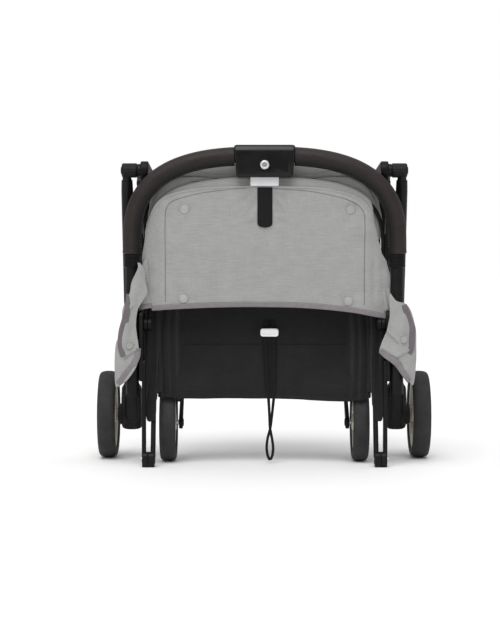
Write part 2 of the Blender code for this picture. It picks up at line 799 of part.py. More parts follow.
def sleeve(name, distances, side, outer, surface, handle):
    sign = 1 if side == "r" else -1
    reach = [distances[0] - 0.004] + list(distances) + [distances[-1] + 0.004]
    points = half_points(reach, sign)
    outside = sweep(points, (0, 1, 0), outer, HANDLE_SIDES)[1:-1]
    inside = sweep(points, (0, 1, 0), HANDLE_R + GAP, HANDLE_SIDES)[1:-1]
    finish(name, skin(outside + inside[::-1], loop=True), surface, handle)


def housing_shell(name, low_y, high_y, handle):
    outline = rounded_outline([
        (-HOUSING_TOP_HALF, HOUSING_TOP_Z), (-HOUSING_BOTTOM_HALF, HOUSING_BOTTOM_Z),
        (HOUSING_BOTTOM_HALF, HOUSING_BOTTOM_Z), (HOUSING_TOP_HALF, HOUSING_TOP_Z),
    ], 0.005)
    piece = finish(name, prism(outline, low_y, high_y, "y"), black_plastic(), handle)
    channel = half_points([GRIP_STATIONS[1]], -1) + half_points([GRIP_START], -1)
    channel += half_points([0.0, GRIP_START, GRIP_STATIONS[1]], 1)
    cut(piece, bar(channel, (0, 1, 0), HANDLE_R + GAP, HANDLE_SIDES))
    slot_y = HANDLE_Y - TAB_T / 2 - GAP
    cut(piece, block((-TAB_HALF - GAP, slot_y, HOUSING_BOTTOM_Z - 0.01),
                     (TAB_HALF + GAP, slot_y + TAB_T + 2 * GAP, TAB_TOP_Z + TAB_TRAVEL + GAP)))
    return piece


def button_face():
    return HOUSING_REAR_Y - BUTTON_PROUD


def handle_housing(handle):
    rear = housing_shell("housing_rear", HOUSING_REAR_Y, HANDLE_Y - GAP / 2, handle)
    depth = button_face() + BUTTON_T + BUTTON_TRAVEL + GAP
    outline = circle_points((0.0, BUTTON_Z), BUTTON_R + GAP, 20)
    cut(rear, prism(outline, HOUSING_REAR_Y - 0.01, depth, "y"))
    housing_shell("housing_front", HANDLE_Y + GAP / 2, HOUSING_FRONT_Y, handle)


def fold_button(button):
    face = button_face()
    rings = []
    for y, r in ((face, BUTTON_R - 0.001), (face + 0.001, BUTTON_R), (face + BUTTON_T, BUTTON_R)):
        rings.append([(x, y, z) for x, z in circle_points((0.0, BUTTON_Z), r, 20)])
    finish("fold_button", skin(rings), steel(), button)


def release_tab(tab):
    half_t = TAB_T / 2
    outline = rounded_outline([
        (-TAB_HALF, TAB_TOP_Z), (-TAB_HALF, TAB_LOW_Z), (TAB_HALF, TAB_LOW_Z), (TAB_HALF, TAB_TOP_Z)
    ], 0.002)
    finish("release_tab", prism(outline, HANDLE_Y - half_t, HANDLE_Y + half_t, "y"), off_white(), tab)


# Canopy

def bow_point(angle, half, rise, tilt):
    x = half * abs(cos(angle)) ** (2 / BOW_POWER) * (1 if cos(angle) >= 0 else -1)
    z = BOW_STRAIGHT + (rise - BOW_STRAIGHT) * max(0.0, sin(angle)) ** (2 / BOW_POWER)
    return (x, CANOPY_PIVOT[0] + tilt * z, CANOPY_PIVOT[1] + z)


BOW_EYE_TOP = PLATE_IN - GAP


def canopy_bow(name, order, rise, tilt, owner):
    """A bow from its left eye over to its right eye. order counts the eyes inward from the link plate."""
    outer = BOW_EYE_TOP - order * (BOW_EYE_T + GAP)
    half = outer - BOW_EYE_T / 2
    steps = 18
    arch = [bow_point(pi - pi * i / steps, half, rise, tilt) for i in range(steps + 1)]
    path = [(-half, *CANOPY_PIVOT)] + arch + [(half, *CANOPY_PIVOT)]
    square = Vector((0, 1, 0)) if tilt == 0 else Vector((0, 1, -tilt))
    piece = finish(name, bar(path, square, BOW_R, 8), black_plastic(), owner)
    for sign in (-1, 1):
        eye = [(sign * outer, BOW_EYE_R), (sign * (outer - BOW_EYE_T), BOW_EYE_R)]
        join(piece, turned(eye, CANOPY_PIVOT, 14))
    for sign in (-1, 1):
        cut(piece, turned([(sign * (outer + 0.003), BORE_R), (sign * (outer - BOW_EYE_T - 0.003), BORE_R)],
                          CANOPY_PIVOT))


def canopy_cloth(owner):
    """The folded cloth between the bows: pleats that follow the arch, deeper towards the top."""
    rings = []
    steps = 20
    rear_y = HOUSING_FRONT_Y + GAP
    half = BOW_EYE_TOP - BOW_EYE_T - BOW_EYE_T / 2
    low = 0.62
    for i in range(steps + 1):
        angle = pi / 2 + (pi / 2 - low) * (1 - 2 * i / steps)
        x, _, z = bow_point(angle, half, FRONT_BOW_RISE, 0.0)
        slope = Vector((x / half, 0, (z - CANOPY_PIVOT[1]) / FRONT_BOW_RISE)).normalized()
        front_y = CANOPY_PIVOT[0] + FRONT_BOW_TILT * (z - CANOPY_PIVOT[1]) - BOW_R - 0.0012
        ring = []
        pleats = ((0.0, -0.030), (0.0, -0.004), (0.25, 0.004), (0.45, -0.004), (0.65, 0.005), (0.85, -0.003),
                  (1.0, 0.002), (1.0, -0.026), (0.6, -0.018), (0.35, -0.027))
        for share, out in pleats:
            spot = Vector((x, 0, z)) + slope * (out - 0.002)
            ring.append((spot.x, rear_y + (front_y - rear_y) * share, spot.z))
        rings.append(ring)
    finish("canopy_cloth", skin(rings), grey_fabric(), owner)


def sheet(name, columns, rows, place, thickness, surface, owner):
    """A closed cloth sheet: place(u, v) gives the rear face, and the front one is thickness further in y."""
    made = bmesh.new()
    grids = []
    for offset in (0.0, thickness):
        grid = []
        for j in range(rows + 1):
            line = []
            for i in range(columns + 1):
                x, y, z = place(i / columns, j / rows)
                line.append(made.verts.new((x, y + offset, z)))
            grid.append(line)
        grids.append(grid)
    rear, front = grids
    for j in range(rows):
        for i in range(columns):
            made.faces.new((rear[j][i], rear[j][i + 1], rear[j + 1][i + 1], rear[j + 1][i]))
            made.faces.new((front[j][i], front[j + 1][i], front[j + 1][i + 1], front[j][i + 1]))
    edge = [(0, i) for i in range(columns)] + [(j, columns) for j in range(rows)]
    edge += [(rows, i) for i in range(columns, 0, -1)] + [(j, 0) for j in range(rows, 0, -1)]
    for k, (j, i) in enumerate(edge):
        jn, i_n = edge[(k + 1) % len(edge)]
        made.faces.new((rear[j][i], front[j][i], front[jn][i_n], rear[jn][i_n]))
    return finish(name, made, surface, owner)


def panel_rear_y():
    return CANOPY_PIVOT[0] - BOW_R - GAP - PANEL_T - 0.0005


def panel_place(u, v):
    """The rear face of the canopy's rear panel: an arch shape, bulging towards its middle."""
    across = 2 * u - 1
    low = PANEL_LOW_Z + PANEL_BOTTOM_RISE * (1 - across ** 2)
    side = (1 - abs(across) ** 7) ** (1 / 2.4)
    high = PANEL_LOW_Z + PANEL_SIDE_H + (PANEL_TOP_Z - PANEL_LOW_Z - PANEL_SIDE_H) * side
    bulge = PANEL_BULGE * (1 - across ** 4) * sin(pi * (0.15 + 0.7 * v))
    half = PANEL_HALF - PANEL_TAPER * (2 * v - 1) ** 2
    return (half * across, panel_rear_y() - bulge, low + (high - low) * v)


def canopy_panel(owner):
    sheet("canopy_panel", 14, 8, panel_place, PANEL_T, grey_fabric(), owner)


def canopy_strap(owner):
    rings = []
    face = panel_rear_y() - PANEL_BULGE - GAP
    corners = [(-STRAP_HALF, STRAP_TOP_Z), (-STRAP_HALF, STRAP_LOW_Z), (STRAP_HALF, STRAP_LOW_Z),
               (STRAP_HALF, STRAP_TOP_Z)]
    for y in (face - WEBBING_T, face - GAP):
        rings.append([(x, y, z) for x, z in rounded_outline(corners, 0.006)])
    finish("canopy_strap", skin(rings), black_fabric(), owner)


def canopy_flap(side, handle):
    """A grey side flap that hangs behind the handle tube, down to a point beside the wheel."""
    sign = 1 if side == "r" else -1
    rows = RIGHT_FLAP if side == "r" else LEFT_FLAP

    def place(u, v):
        at = v * (len(rows) - 1)
        k = min(int(at), len(rows) - 2)
        (z0, in0, out0), (z1, in1, out1) = rows[k], rows[k + 1]
        t = at - k
        inner = in0 + (in1 - in0) * t
        outer = out0 + (out1 - out0) * t
        fold = FLAP_FOLD * (1 + sin(2 * pi * (1.2 * u + 0.4 * v)))
        y = HANDLE_Y - HANDLE_R - GAP - FLAP_T - fold
        return (sign * (HANDLE_HALF + inner + (outer - inner) * u), y, z0 + (z1 - z0) * t)

    sheet(f"canopy_flap_{side}", 6, 2 * (len(rows) - 1), place, FLAP_T, grey_fabric(), handle)


# Seat and back

SEAT_DIR, SEAT_LENGTH = unit(SEAT_PIVOT, SEAT_BACK_JOINT)
SEAT_UP = (SEAT_DIR[1], -SEAT_DIR[0])
BACK_DIR = (cos(radians(BACK_TILT)), sin(radians(BACK_TILT)))
BACK_FRONT = (BACK_DIR[1], -BACK_DIR[0])


def seat_point(s, n):
    return along(along(SEAT_PIVOT, SEAT_DIR, s), SEAT_UP, n)


def back_point(w, n):
    return along(along(SEAT_BACK_JOINT, BACK_DIR, w), BACK_FRONT, n)


def slab(point, start, end, low, high):
    return [point(start, low), point(end, low), point(end, high), point(start, high)]


def seat_board(seat):
    half_t = BOARD_T / 2
    start = SLEEVE_R + SLEEVE_TO_BOARD
    outline = slab(seat_point, start, SEAT_LENGTH - 0.001, -half_t, half_t)
    piece = finish("seat_board", prism(outline, -SEAT_HALF, SEAT_HALF), black_plastic(), seat)
    neck = slab(seat_point, SLEEVE_R - 0.002, start + 0.002, -half_t + 0.0004, half_t - 0.0004)
    join(piece, prism(neck, -SEAT_SLEEVE_HALF + 0.001, SEAT_SLEEVE_HALF - 0.001))
    join(piece, turned([(-SEAT_SLEEVE_HALF, SLEEVE_R), (SEAT_SLEEVE_HALF, SLEEVE_R)], SEAT_PIVOT, 18))
    join(piece, turned([(-SEAT_HALF + 0.006, PIN_R), (SEAT_HALF - 0.006, PIN_R)], SEAT_BACK_JOINT, 14))
    inner = CROSSBAR_R + GAP
    bore = [(-SEAT_SLEEVE_HALF - 0.004, inner), (SEAT_SLEEVE_HALF + 0.004, inner)]
    cut(piece, turned(bore, SEAT_PIVOT, 12))


def pad(name, point, start, end, base, thickness, channels, half, owner):
    """A crowned pad on a board: flat underneath, sides drawn in between its corners, sewn channels across."""
    made = bmesh.new()
    columns, rows = 10, 12
    grids = []
    for top in (False, True):
        grid = []
        for j in range(rows + 1):
            v = 2 * j / rows - 1
            line = []
            for i in range(columns + 1):
                u = 2 * i / columns - 1
                x = half * u * (1 - 0.03 * (1 - v * v) * abs(u))
                s = (start + end) / 2 + (end - start) / 2 * v * (1 - 0.03 * (1 - u * u) * abs(v))
                crown = (1 - u ** 6) ** 0.5 * (1 - v ** 6) ** 0.5
                groove = 1 - 0.35 * max(0.0, cos(pi * channels * (v + 1) / 2)) ** 8 if abs(v) < 0.95 else 1
                n = base + (0.0015 + (thickness - 0.0015) * crown * groove if top else 0.0)
                line.append(made.verts.new((x, *point(s, n))))
            grid.append(line)
        grids.append(grid)
    low, high = grids
    for j in range(rows):
        for i in range(columns):
            made.faces.new((low[j][i], low[j + 1][i], low[j + 1][i + 1], low[j][i + 1]))
            made.faces.new((high[j][i], high[j][i + 1], high[j + 1][i + 1], high[j + 1][i]))
    edge = [(0, i) for i in range(columns)] + [(j, columns) for j in range(rows)]
    edge += [(rows, i) for i in range(columns, 0, -1)] + [(j, 0) for j in range(rows, 0, -1)]
    for k, (j, i) in enumerate(edge):
        jn, i_n = edge[(k + 1) % len(edge)]
        made.faces.new((low[j][i], low[jn][i_n], high[jn][i_n], high[j][i]))
    finish(name, made, black_fabric(), owner)


def backrest_board(back):
    half_t = BACK_BOARD_T / 2
    outline = slab(back_point, BACK_START, BACK_LENGTH, -half_t, half_t)
    finish("backrest_board", prism(outline, -SEAT_HALF, SEAT_HALF), black_plastic(), back)


def cover_place(u, v):
    """The rear fabric of the back: flat in the middle, gathered into folds at both sides."""
    across = 2 * u - 1
    x = WING_HALF * across * (1.6 - 0.6 * across ** 2)
    x = max(-WING_HALF, min(WING_HALF, x))
    wing = smooth_step((abs(x) - COVER_HALF + 0.012) / 0.016)
    top = COVER_TOP_Z + (WING_TOP_Z - COVER_TOP_Z) * wing
    z = COVER_LOW_Z + (top - COVER_LOW_Z) * v
    corner = smooth_step((abs(x) - 0.05) / 0.05) * smooth_step((COVER_CORNER_Z - z) / 0.045)
    folds = 0.0022 * sin(abs(x) * 2 * pi / FOLD_PITCH) * wing
    return (x, cover_rear_y() - WING_SETBACK * max(wing, corner) + folds, z)


def backrest_cover(back):
    sheet("backrest_cover", 36, 4, cover_place, COVER_T, black_fabric(), back)


def cover_rear_y():
    return back_point(0.0, -BACK_BOARD_T / 2)[0] - 0.0035 - COVER_T


def recline_strap(back):
    """The webbing that the slider runs on: two strands that meet in a pull loop just above the floor."""
    x = SLIDER_X
    rear = cover_rear_y() - GAP - WEBBING_T
    top, low = 0.219, 0.0035
    outline = [
        (x - 0.0065, top), (x - 0.0085, 0.100), (x - 0.0055, 0.052), (x - 0.0070, 0.036), (x - 0.0080, 0.020),
        (x - 0.0050, 0.007), (x, low), (x + 0.0050, 0.007), (x + 0.0080, 0.020), (x + 0.0070, 0.036),
        (x + 0.0055, 0.052), (x + 0.0085, 0.100), (x + 0.0065, top),
    ]
    piece = finish("recline_strap", prism(outline, rear, rear + WEBBING_T, "y"), black_fabric(), back)
    gap = [(x - 0.0012, 0.178), (x - 0.0035, 0.100), (x, 0.062), (x + 0.0035, 0.100), (x + 0.0012, 0.178)]
    eye = [(x, 0.036), (x - 0.0048, 0.022), (x, 0.009), (x + 0.0048, 0.022)]
    for hole in (gap, eye):
        cut(piece, prism(hole, rear - 0.004, rear + WEBBING_T + 0.004, "y"))


def recline_slider(slider):
    front = cover_rear_y() - GAP
    rear = front - 0.0085
    low, high = SLIDER_Z - SLIDER_H / 2, SLIDER_Z + SLIDER_H / 2
    left, right = SLIDER_X - SLIDER_W / 2, SLIDER_X + SLIDER_W / 2
    outline = rounded_outline([(left, high), (left, low), (right, low), (right, high)], 0.003)
    piece = finish("recline_slider", prism(outline, rear, front, "y"), off_white(), slider)
    cut(piece, block((SLIDER_X - 0.0105, front - WEBBING_T - 2 * GAP, low - 0.01),
                     (SLIDER_X + 0.0105, front + 0.01, high + 0.01)))


def leg_rest(rest):
    y, z = SEAT_PIVOT
    half_t = BOARD_T / 2
    top = z - SLEEVE_R - 0.0013
    plate = [(y - half_t, top), (y - half_t, z - LEG_REST_L), (y + half_t + 0.002, z - LEG_REST_L - 0.003),
             (y + LEG_REST_PAD_T + 0.001, z - LEG_REST_L + 0.006), (y + LEG_REST_PAD_T + 0.0025, z - 0.09),
             (y + LEG_REST_PAD_T - 0.001, top - 0.008), (y + half_t, top)]
    piece = finish("leg_rest", prism(plate, -LEG_REST_HALF, LEG_REST_HALF), black_fabric(), rest)
    inner = CROSSBAR_R + GAP
    for sign in (-1, 1):
        low, high = sorted((sign * REST_SLEEVE_IN, sign * REST_SLEEVE_OUT))
        join(piece, prism([(y - half_t + 0.0004, z - 0.0095), (y - half_t + 0.0004, top - 0.006),
                           (y + half_t - 0.0004, top - 0.006), (y + half_t - 0.0004, z - 0.0095)],
                          low + 0.001, high - 0.006))
        join(piece, turned([(low, SLEEVE_R), (high, SLEEVE_R)], SEAT_PIVOT, 18))
        cut(piece, turned([(low - 0.002, inner), (high + 0.002, inner)], SEAT_PIVOT, 12))


def harness(back, seat, button):
    """Two shoulder straps joined by a yoke on the back pad, and a buckle with its button on the seat pad."""
    front = BACK_BOARD_T / 2 + PAD_LIFT + PAD_T + GAP
    straps = [
        (-0.056, 0.265), (-0.048, 0.075), (-0.026, 0.075), (-0.034, 0.243),
        (0.034, 0.243), (0.026, 0.075), (0.048, 0.075), (0.056, 0.265),
    ]
    rings = []
    for n in (front, front + WEBBING_T):
        rings.append([(x, *back_point(w, n)) for x, w in straps])
    finish("harness_straps", skin(rings), black_fabric(), back)
    base = BOARD_T / 2 + PAD_LIFT + PAD_T + GAP
    middle = SEAT_LENGTH * 0.42
    half = BUCKLE_W / 2
    near, far = middle - BUCKLE_L / 2, middle + BUCKLE_L / 2
    corners = [(-half, near), (half, near), (half * 0.8, far), (-half * 0.8, far)]
    rings = []
    for n in (base, base + BUCKLE_T):
        rings.append([(x, *seat_point(s, n)) for x, s in rounded_outline(corners, 0.006)])
    buckle = finish("harness_buckle", skin(rings), black_plastic(), seat)
    centre = seat_point(middle, 0.0)
    low, high = base + 0.004, base + BUCKLE_T + 0.0015

    def place(n):
        return (0.0, centre[0] + SEAT_UP[0] * n, centre[1] + SEAT_UP[1] * n)

    cut(buckle, rod(place(low - 0.0025 - GAP), place(high + 0.01), 0.009 + GAP, 18))
    finish("buckle_button", rod(place(low), place(high), 0.009, 18), steel(), button)


def basket(root):
    """The folded shopping basket: a sagging trough under the seat, open above, between the cross tubes."""
    rear = crossbar_place(REAR_CROSSBAR_Z)[0] + CROSSBAR_R + GAP
    front_bar = front_leg_place(FRONT_CROSSBAR_SHARE)
    front = front_bar[0] - CROSSBAR_R - GAP
    outer = []
    inner = []
    steps = 10
    for i in range(steps + 1):
        t = i / steps
        y = rear + (front - rear) * t
        top = REAR_CROSSBAR_Z + (front_bar[1] - REAR_CROSSBAR_Z) * t
        sag = (1 - abs(2 * t - 1) ** 4)
        low = top + (BASKET_LOW_Z - top) * sag
        outer.append((y, low))
        floor = BASKET_T if 0 < i < steps else 0
        inner.append((rear + BASKET_T + (front - rear - 2 * BASKET_T) * t, low + floor))
    wall = prism(outer + inner[::-1], -BASKET_HALF, BASKET_HALF)
    piece = finish("basket", wall, black_fabric(), root)
    for sign in (-1, 1):
        low, high = sorted((sign * BASKET_HALF, sign * (BASKET_HALF - BASKET_T)))
        join(piece, prism(outer, low, high))


def build():
    for old in list(bpy.data.objects):
        bpy.data.objects.remove(old)
    root = body("body_root")
    rear_legs = body("body_rear_legs", on_side(REAR_PIVOT))
    front_legs = body("body_front_legs", on_side(FRONT_PIVOT))
    arms = body("body_arms", on_side(ARM_PIVOT))
    handle = body("body_handle", on_side(FOLD_JOINT))
    seat = body("body_seat", on_side(SEAT_PIVOT))
    back = body("body_backrest", on_side(SEAT_BACK_JOINT))
    rear_bow = body("body_rear_bow", on_side(CANOPY_PIVOT))
    front_bow = body("body_front_bow", on_side(CANOPY_PIVOT))
    seat_crossbar(root)
    rear_crossbar(rear_legs)
    brake_pedal(body("body_brake_pedal", on_side(crossbar_place(REAR_CROSSBAR_Z))))
    front_crossbar(front_legs)
    for side in ("l", "r"):
        sign = 1 if side == "r" else -1
        side_frame(side, root)
        rear_hub(side, rear_legs)
        rear_leg(side, rear_legs)
        axle_housing(side, rear_legs)
        rear_axle(side, rear_legs)
        wheel = body(f"body_rear_wheel_{side}", (sign * REAR_TYRE_X, *REAR_AXLE))
        tyre(f"rear_tyre_{side}", sign * REAR_TYRE_X, REAR_TYRE_W, REAR_WHEEL_R, REAR_AXLE, wheel)
        rim(f"rear_rim_{side}", sign * REAR_TYRE_X, REAR_TYRE_W, REAR_WHEEL_R, REAR_AXLE, wheel, -sign)
        front_leg(side, front_legs)
        front_fork(side, body(f"body_front_fork_{side}", (sign * FRONT_TYRE_X, *CASTER_FOOT)))
        wheel = body(f"body_front_wheel_{side}", (sign * FRONT_TYRE_X, *FRONT_AXLE))
        tyre(f"front_tyre_{side}", sign * FRONT_TYRE_X, FRONT_TYRE_W, FRONT_WHEEL_R, FRONT_AXLE, wheel)
        rim(f"front_rim_{side}", sign * FRONT_TYRE_X, FRONT_TYRE_W, FRONT_WHEEL_R, FRONT_AXLE, wheel, -sign)
        lower_arm(side, arms)
        fold_pin(side, arms)
        handle_link(side, handle)
        sleeve(f"grip_{side}", GRIP_STATIONS, side, GRIP_R, leatherette(), handle)
        sleeve(f"grip_collar_{side}", COLLAR_STATIONS, side, COLLAR_R, black_plastic(), handle)
        canopy_flap(side, handle)
    handle_tube(handle)
    handle_housing(handle)
    fold_button(body("body_fold_button", (0.0, button_face(), BUTTON_Z)))
    release_tab(body("body_release_tab", (0.0, HANDLE_Y, TAB_LOW_Z)))
    canopy_bow("rear_bow", 0, REAR_BOW_RISE, 0.0, rear_bow)
    canopy_bow("front_bow", 1, FRONT_BOW_RISE, FRONT_BOW_TILT, front_bow)
    canopy_cloth(rear_bow)
    canopy_panel(rear_bow)
    canopy_strap(rear_bow)
    seat_board(seat)
    pad("seat_pad", seat_point, 0.020, SEAT_LENGTH - 0.052, BOARD_T / 2 + PAD_LIFT, PAD_T, 3, PAD_HALF, seat)
    backrest_board(back)
    back_base = BACK_BOARD_T / 2 + PAD_LIFT
    pad("backrest_pad", back_point, 0.060, BACK_LENGTH - 0.010, back_base, PAD_T, 4, PAD_HALF, back)
    backrest_cover(back)
    recline_strap(back)
    recline_slider(body("body_recline_slider", (SLIDER_X, cover_rear_y(), SLIDER_Z)))
    leg_rest(body("body_leg_rest", on_side(SEAT_PIVOT)))
    harness(back, seat, body("body_buckle_button", on_side(seat_point(SEAT_LENGTH * 0.42, BOARD_T))))
    basket(root)


build()
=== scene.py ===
"""The look of the folded travel stroller: every surface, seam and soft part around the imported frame.
Metres, +Z up. The stroller's rear faces -Y, towards the camera."""

from math import acos, atan, atan2, cos, exp, hypot, pi, radians, sin, tan

import bmesh
import bpy
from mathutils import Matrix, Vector, noise


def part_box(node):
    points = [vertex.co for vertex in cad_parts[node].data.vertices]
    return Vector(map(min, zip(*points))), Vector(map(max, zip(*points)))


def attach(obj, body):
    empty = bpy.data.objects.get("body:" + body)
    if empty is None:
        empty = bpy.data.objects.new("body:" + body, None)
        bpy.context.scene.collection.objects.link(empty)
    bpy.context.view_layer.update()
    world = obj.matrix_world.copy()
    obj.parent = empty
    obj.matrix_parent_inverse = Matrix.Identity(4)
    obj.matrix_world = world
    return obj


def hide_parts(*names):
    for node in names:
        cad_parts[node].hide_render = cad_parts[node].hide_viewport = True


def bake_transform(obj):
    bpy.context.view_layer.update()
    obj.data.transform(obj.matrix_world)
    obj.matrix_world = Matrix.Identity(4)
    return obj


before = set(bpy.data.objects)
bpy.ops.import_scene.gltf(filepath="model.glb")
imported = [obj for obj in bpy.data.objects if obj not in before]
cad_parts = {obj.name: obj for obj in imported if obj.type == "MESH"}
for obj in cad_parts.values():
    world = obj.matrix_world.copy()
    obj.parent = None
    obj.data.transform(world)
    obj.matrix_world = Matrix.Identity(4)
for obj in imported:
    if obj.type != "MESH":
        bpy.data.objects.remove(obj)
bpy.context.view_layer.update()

SIDES = (("l", -1), ("r", 1))
GAP = 0.0003
ACROSS = Vector((1, 0, 0))
BACK_TO_FRONT = Vector((0, 1, 0))

# Camera, from the photograph's horizon and the known wheel spacing
IMAGE_HEIGHT_PX = 625
FOCAL_PX = 1766
HORIZON_ABOVE_CENTRE_PX = 44.5
SENSOR_MM = 36.0
CAMERA_PLACE = (-0.022, -2.771, 0.300)
HORIZON_LIGHT = 0.25
DOME_LIGHT = 0.95
KEY_LIGHT = 1.6
FILL_LIGHT = 0.30

# Pivots in the side view, as (y, z), the same as the solids' own
REAR_PIVOT = (-0.086, 0.448)
FRONT_PIVOT = (0.1015, 0.438)
ARM_PIVOT = (-0.011, 0.360)
SEAT_PIVOT = (0.109, 0.375)
SEAT_BACK_JOINT = (-0.054, 0.140)
FOLD_JOINT = (-0.111, 0.0115)
CANOPY_PIVOT = (-0.100, 0.215)
REAR_AXLE = (0.029, 0.0685)
FRONT_AXLE = (-0.026, 0.060)

# Handle
HANDLE_HALF = 0.1995
HANDLE_Y = -0.109
HANDLE_TOP = 0.4686
HANDLE_SHOULDER = 0.335
HANDLE_POWER = 2.75
HANDLE_LOW = 0.110
HANDLE_R = 0.010
GRIP_R = 0.0145
GRIP_END_Z = 0.321
SEAM_TURN = radians(24)
COLLAR_R = 0.0127
COLLAR_END_Z = 0.300
HOUSING_TOP_HALF = 0.0467
HOUSING_BOTTOM_HALF = 0.042
BUTTON_R = 0.0070
BUTTON_Z = 0.4545


# Nodes and materials

def give(socket, tree, value):
    if isinstance(value, bpy.types.NodeSocket):
        tree.links.new(value, socket)
    else:
        socket.default_value = value


def node(tree, kind, inputs=None, **settings):
    """A shader node with its inputs set to values or linked to sockets."""
    made = tree.nodes.new(kind)
    for name, value in settings.items():
        setattr(made, name, value)
    for name, value in (inputs or {}).items():
        give(made.inputs[name], tree, value)
    return made


def shader(name, roughness, metallic=0.0, **plain):
    """A new material, its tree, its Principled shader and the object's own coordinates."""
    made = bpy.data.materials.new(f"{name}_look")
    made.use_nodes = True
    tree = made.node_tree
    surface = tree.nodes["Principled BSDF"]
    for socket, value in {"Roughness": roughness, "Metallic": metallic, **plain}.items():
        surface.inputs[socket.replace("_", " ")].default_value = value
    return made, tree, surface, node(tree, "ShaderNodeTexCoord").outputs["Object"]


def ramp(tree, value, *stops):
    made = node(tree, "ShaderNodeValToRGB", {"Fac": value})
    while len(made.color_ramp.elements) < len(stops):
        made.color_ramp.elements.new(0.5)
    for element, (at, colour) in zip(made.color_ramp.elements, stops):
        element.position = at
        element.color = (*colour, 1.0)
    return made.outputs["Color"]


def paint(tree, surface, value, *stops):
    tree.links.new(ramp(tree, value, *stops), surface.inputs["Base Color"])


def speckle(tree, place, scale, detail=3.0, stretch=None):
    if stretch:
        place = node(tree, "ShaderNodeMapping", {"Vector": place, "Scale": stretch}).outputs["Vector"]
    return node(tree, "ShaderNodeTexNoise",
                {"Vector": place, "Scale": scale, "Detail": detail}).outputs["Fac"]


def maths(tree, operation, *values):
    made = tree.nodes.new("ShaderNodeMath")
    made.operation = operation
    for socket, value in zip(made.inputs, values):
        give(socket, tree, value)
    return made.outputs["Value"]


def mixed(tree, *parts):
    """The sum of some values, each times its share."""
    total = 0.0
    for value, share in parts:
        total = maths(tree, "MULTIPLY_ADD", value, share, total)
    return total


def mapped(tree, value, start, end, low, high, **settings):
    return node(tree, "ShaderNodeMapRange", {
        "Value": value, "From Min": start, "From Max": end, "To Min": low, "To Max": high,
    }, **settings).outputs["Result"]


def roughen(tree, surface, value, low, high):
    tree.links.new(mapped(tree, value, 0.3, 0.7, low, high), surface.inputs["Roughness"])


def bump(tree, surface, height, distance):
    made = node(tree, "ShaderNodeBump", {"Height": height, "Distance": distance, "Strength": 1.0})
    tree.links.new(made.outputs["Normal"], surface.inputs["Normal"])


def weave_height(tree, place, pitch):
    """The small hills of a plain weave, whatever way the cloth faces."""
    axes = node(tree, "ShaderNodeSeparateXYZ", {"Vector": place}).outputs
    rise = maths(tree, "ADD", axes["Z"], axes["Y"])
    warp, weft = [maths(tree, "SINE", maths(tree, "MULTIPLY", way, 2 * pi / pitch))
                  for way in (axes["X"], rise)]
    return maths(tree, "MULTIPLY_ADD", maths(tree, "MULTIPLY", warp, weft), 0.5, 0.5)


def cloth_material(name, dark, light, pitch, depth, roughness, sheen):
    """Woven cloth: threads of two shades along both directions, slow blotches, and the weave's relief."""
    made, tree, surface, place = shader(
        name, roughness, Sheen_Weight=sheen, Sheen_Roughness=0.5, Specular_IOR_Level=0.25
    )
    warp = speckle(tree, place, 1.0, 3.0, (900, 900, 60))
    weft = speckle(tree, place, 1.0, 3.0, (60, 900, 900))
    shade = mixed(tree, (warp, 0.22), (weft, 0.48), (speckle(tree, place, 45.0), 0.3))
    paint(tree, surface, shade, (0.3, dark), (0.7, light))
    bump(tree, surface, mixed(tree, (weave_height(tree, place, pitch), 0.7), (shade, 0.9)), depth)
    return made


def plastic_material(name, dark, light, roughness, grain, depth, **plain):
    """Moulded plastic with a fine spark-eroded grain and faint wear."""
    made, tree, surface, place = shader(name, roughness, **plain)
    fine = speckle(tree, place, grain)
    broad = speckle(tree, place, 35.0)
    paint(tree, surface, broad, (0.35, dark), (0.68, light))
    roughen(tree, surface, broad, roughness - 0.06, roughness + 0.08)
    bump(tree, surface, fine, depth)
    return made


def metal_material(name, dark, light, roughness, metallic, stretch, depth, **plain):
    """Coated or brushed metal, with its grain stretched along the brushing."""
    made, tree, surface, place = shader(name, roughness, metallic, **plain)
    grain = speckle(tree, place, 1.0, 3.0, stretch)
    paint(tree, surface, speckle(tree, place, 30.0), (0.35, dark), (0.7, light))
    roughen(tree, surface, grain, roughness - 0.07, roughness + 0.1)
    bump(tree, surface, grain, depth)
    return made


def leather_material(name):
    """Dark brown leatherette: rounded pebbles with creases between them, rubbed paler on the high spots."""
    made, tree, surface, place = shader(name, 0.5, Specular_IOR_Level=0.26)
    cells = node(tree, "ShaderNodeTexVoronoi", {"Vector": place, "Scale": 620.0}, feature="SMOOTH_F1")
    pebbles = maths(tree, "SUBTRACT", 1.0, cells.outputs["Distance"])
    broad = speckle(tree, place, 40.0, 4.0)
    colour = ramp(tree, mixed(tree, (pebbles, 0.45), (broad, 0.55)), (0.35, (0.0120, 0.0086, 0.0078)),
                  (0.58, (0.0205, 0.0150, 0.0136)), (0.8, (0.0305, 0.0232, 0.0212)))
    # Painted shade: where the grip faces the inside of the handle's arch, its colour is scaled down to an
    # eighth, for the shade that side gets
    normal = node(tree, "ShaderNodeTexCoord").outputs["Normal"]
    kind, middle = "ShaderNodeVectorMath", (0.0, HANDLE_Y, 0.33)
    away = node(tree, kind, {0: place, 1: middle}, operation="SUBTRACT").outputs["Vector"]
    away = node(tree, kind, {0: away}, operation="NORMALIZE").outputs["Vector"]
    outward = node(tree, kind, {0: normal, 1: away}, operation="DOT_PRODUCT").outputs["Value"]
    share = mapped(tree, outward, -0.75, 0.25, 0.12, 1.0, interpolation_type="SMOOTHSTEP")
    colour = node(tree, kind, {0: colour, "Scale": share}, operation="SCALE").outputs["Vector"]
    tree.links.new(colour, surface.inputs["Base Color"])
    roughen(tree, surface, broad, 0.44, 0.62)
    bump(tree, surface, mixed(tree, (pebbles, 0.8), (speckle(tree, place, 2500.0, 2.0), 0.2)), 0.00022)
    return made


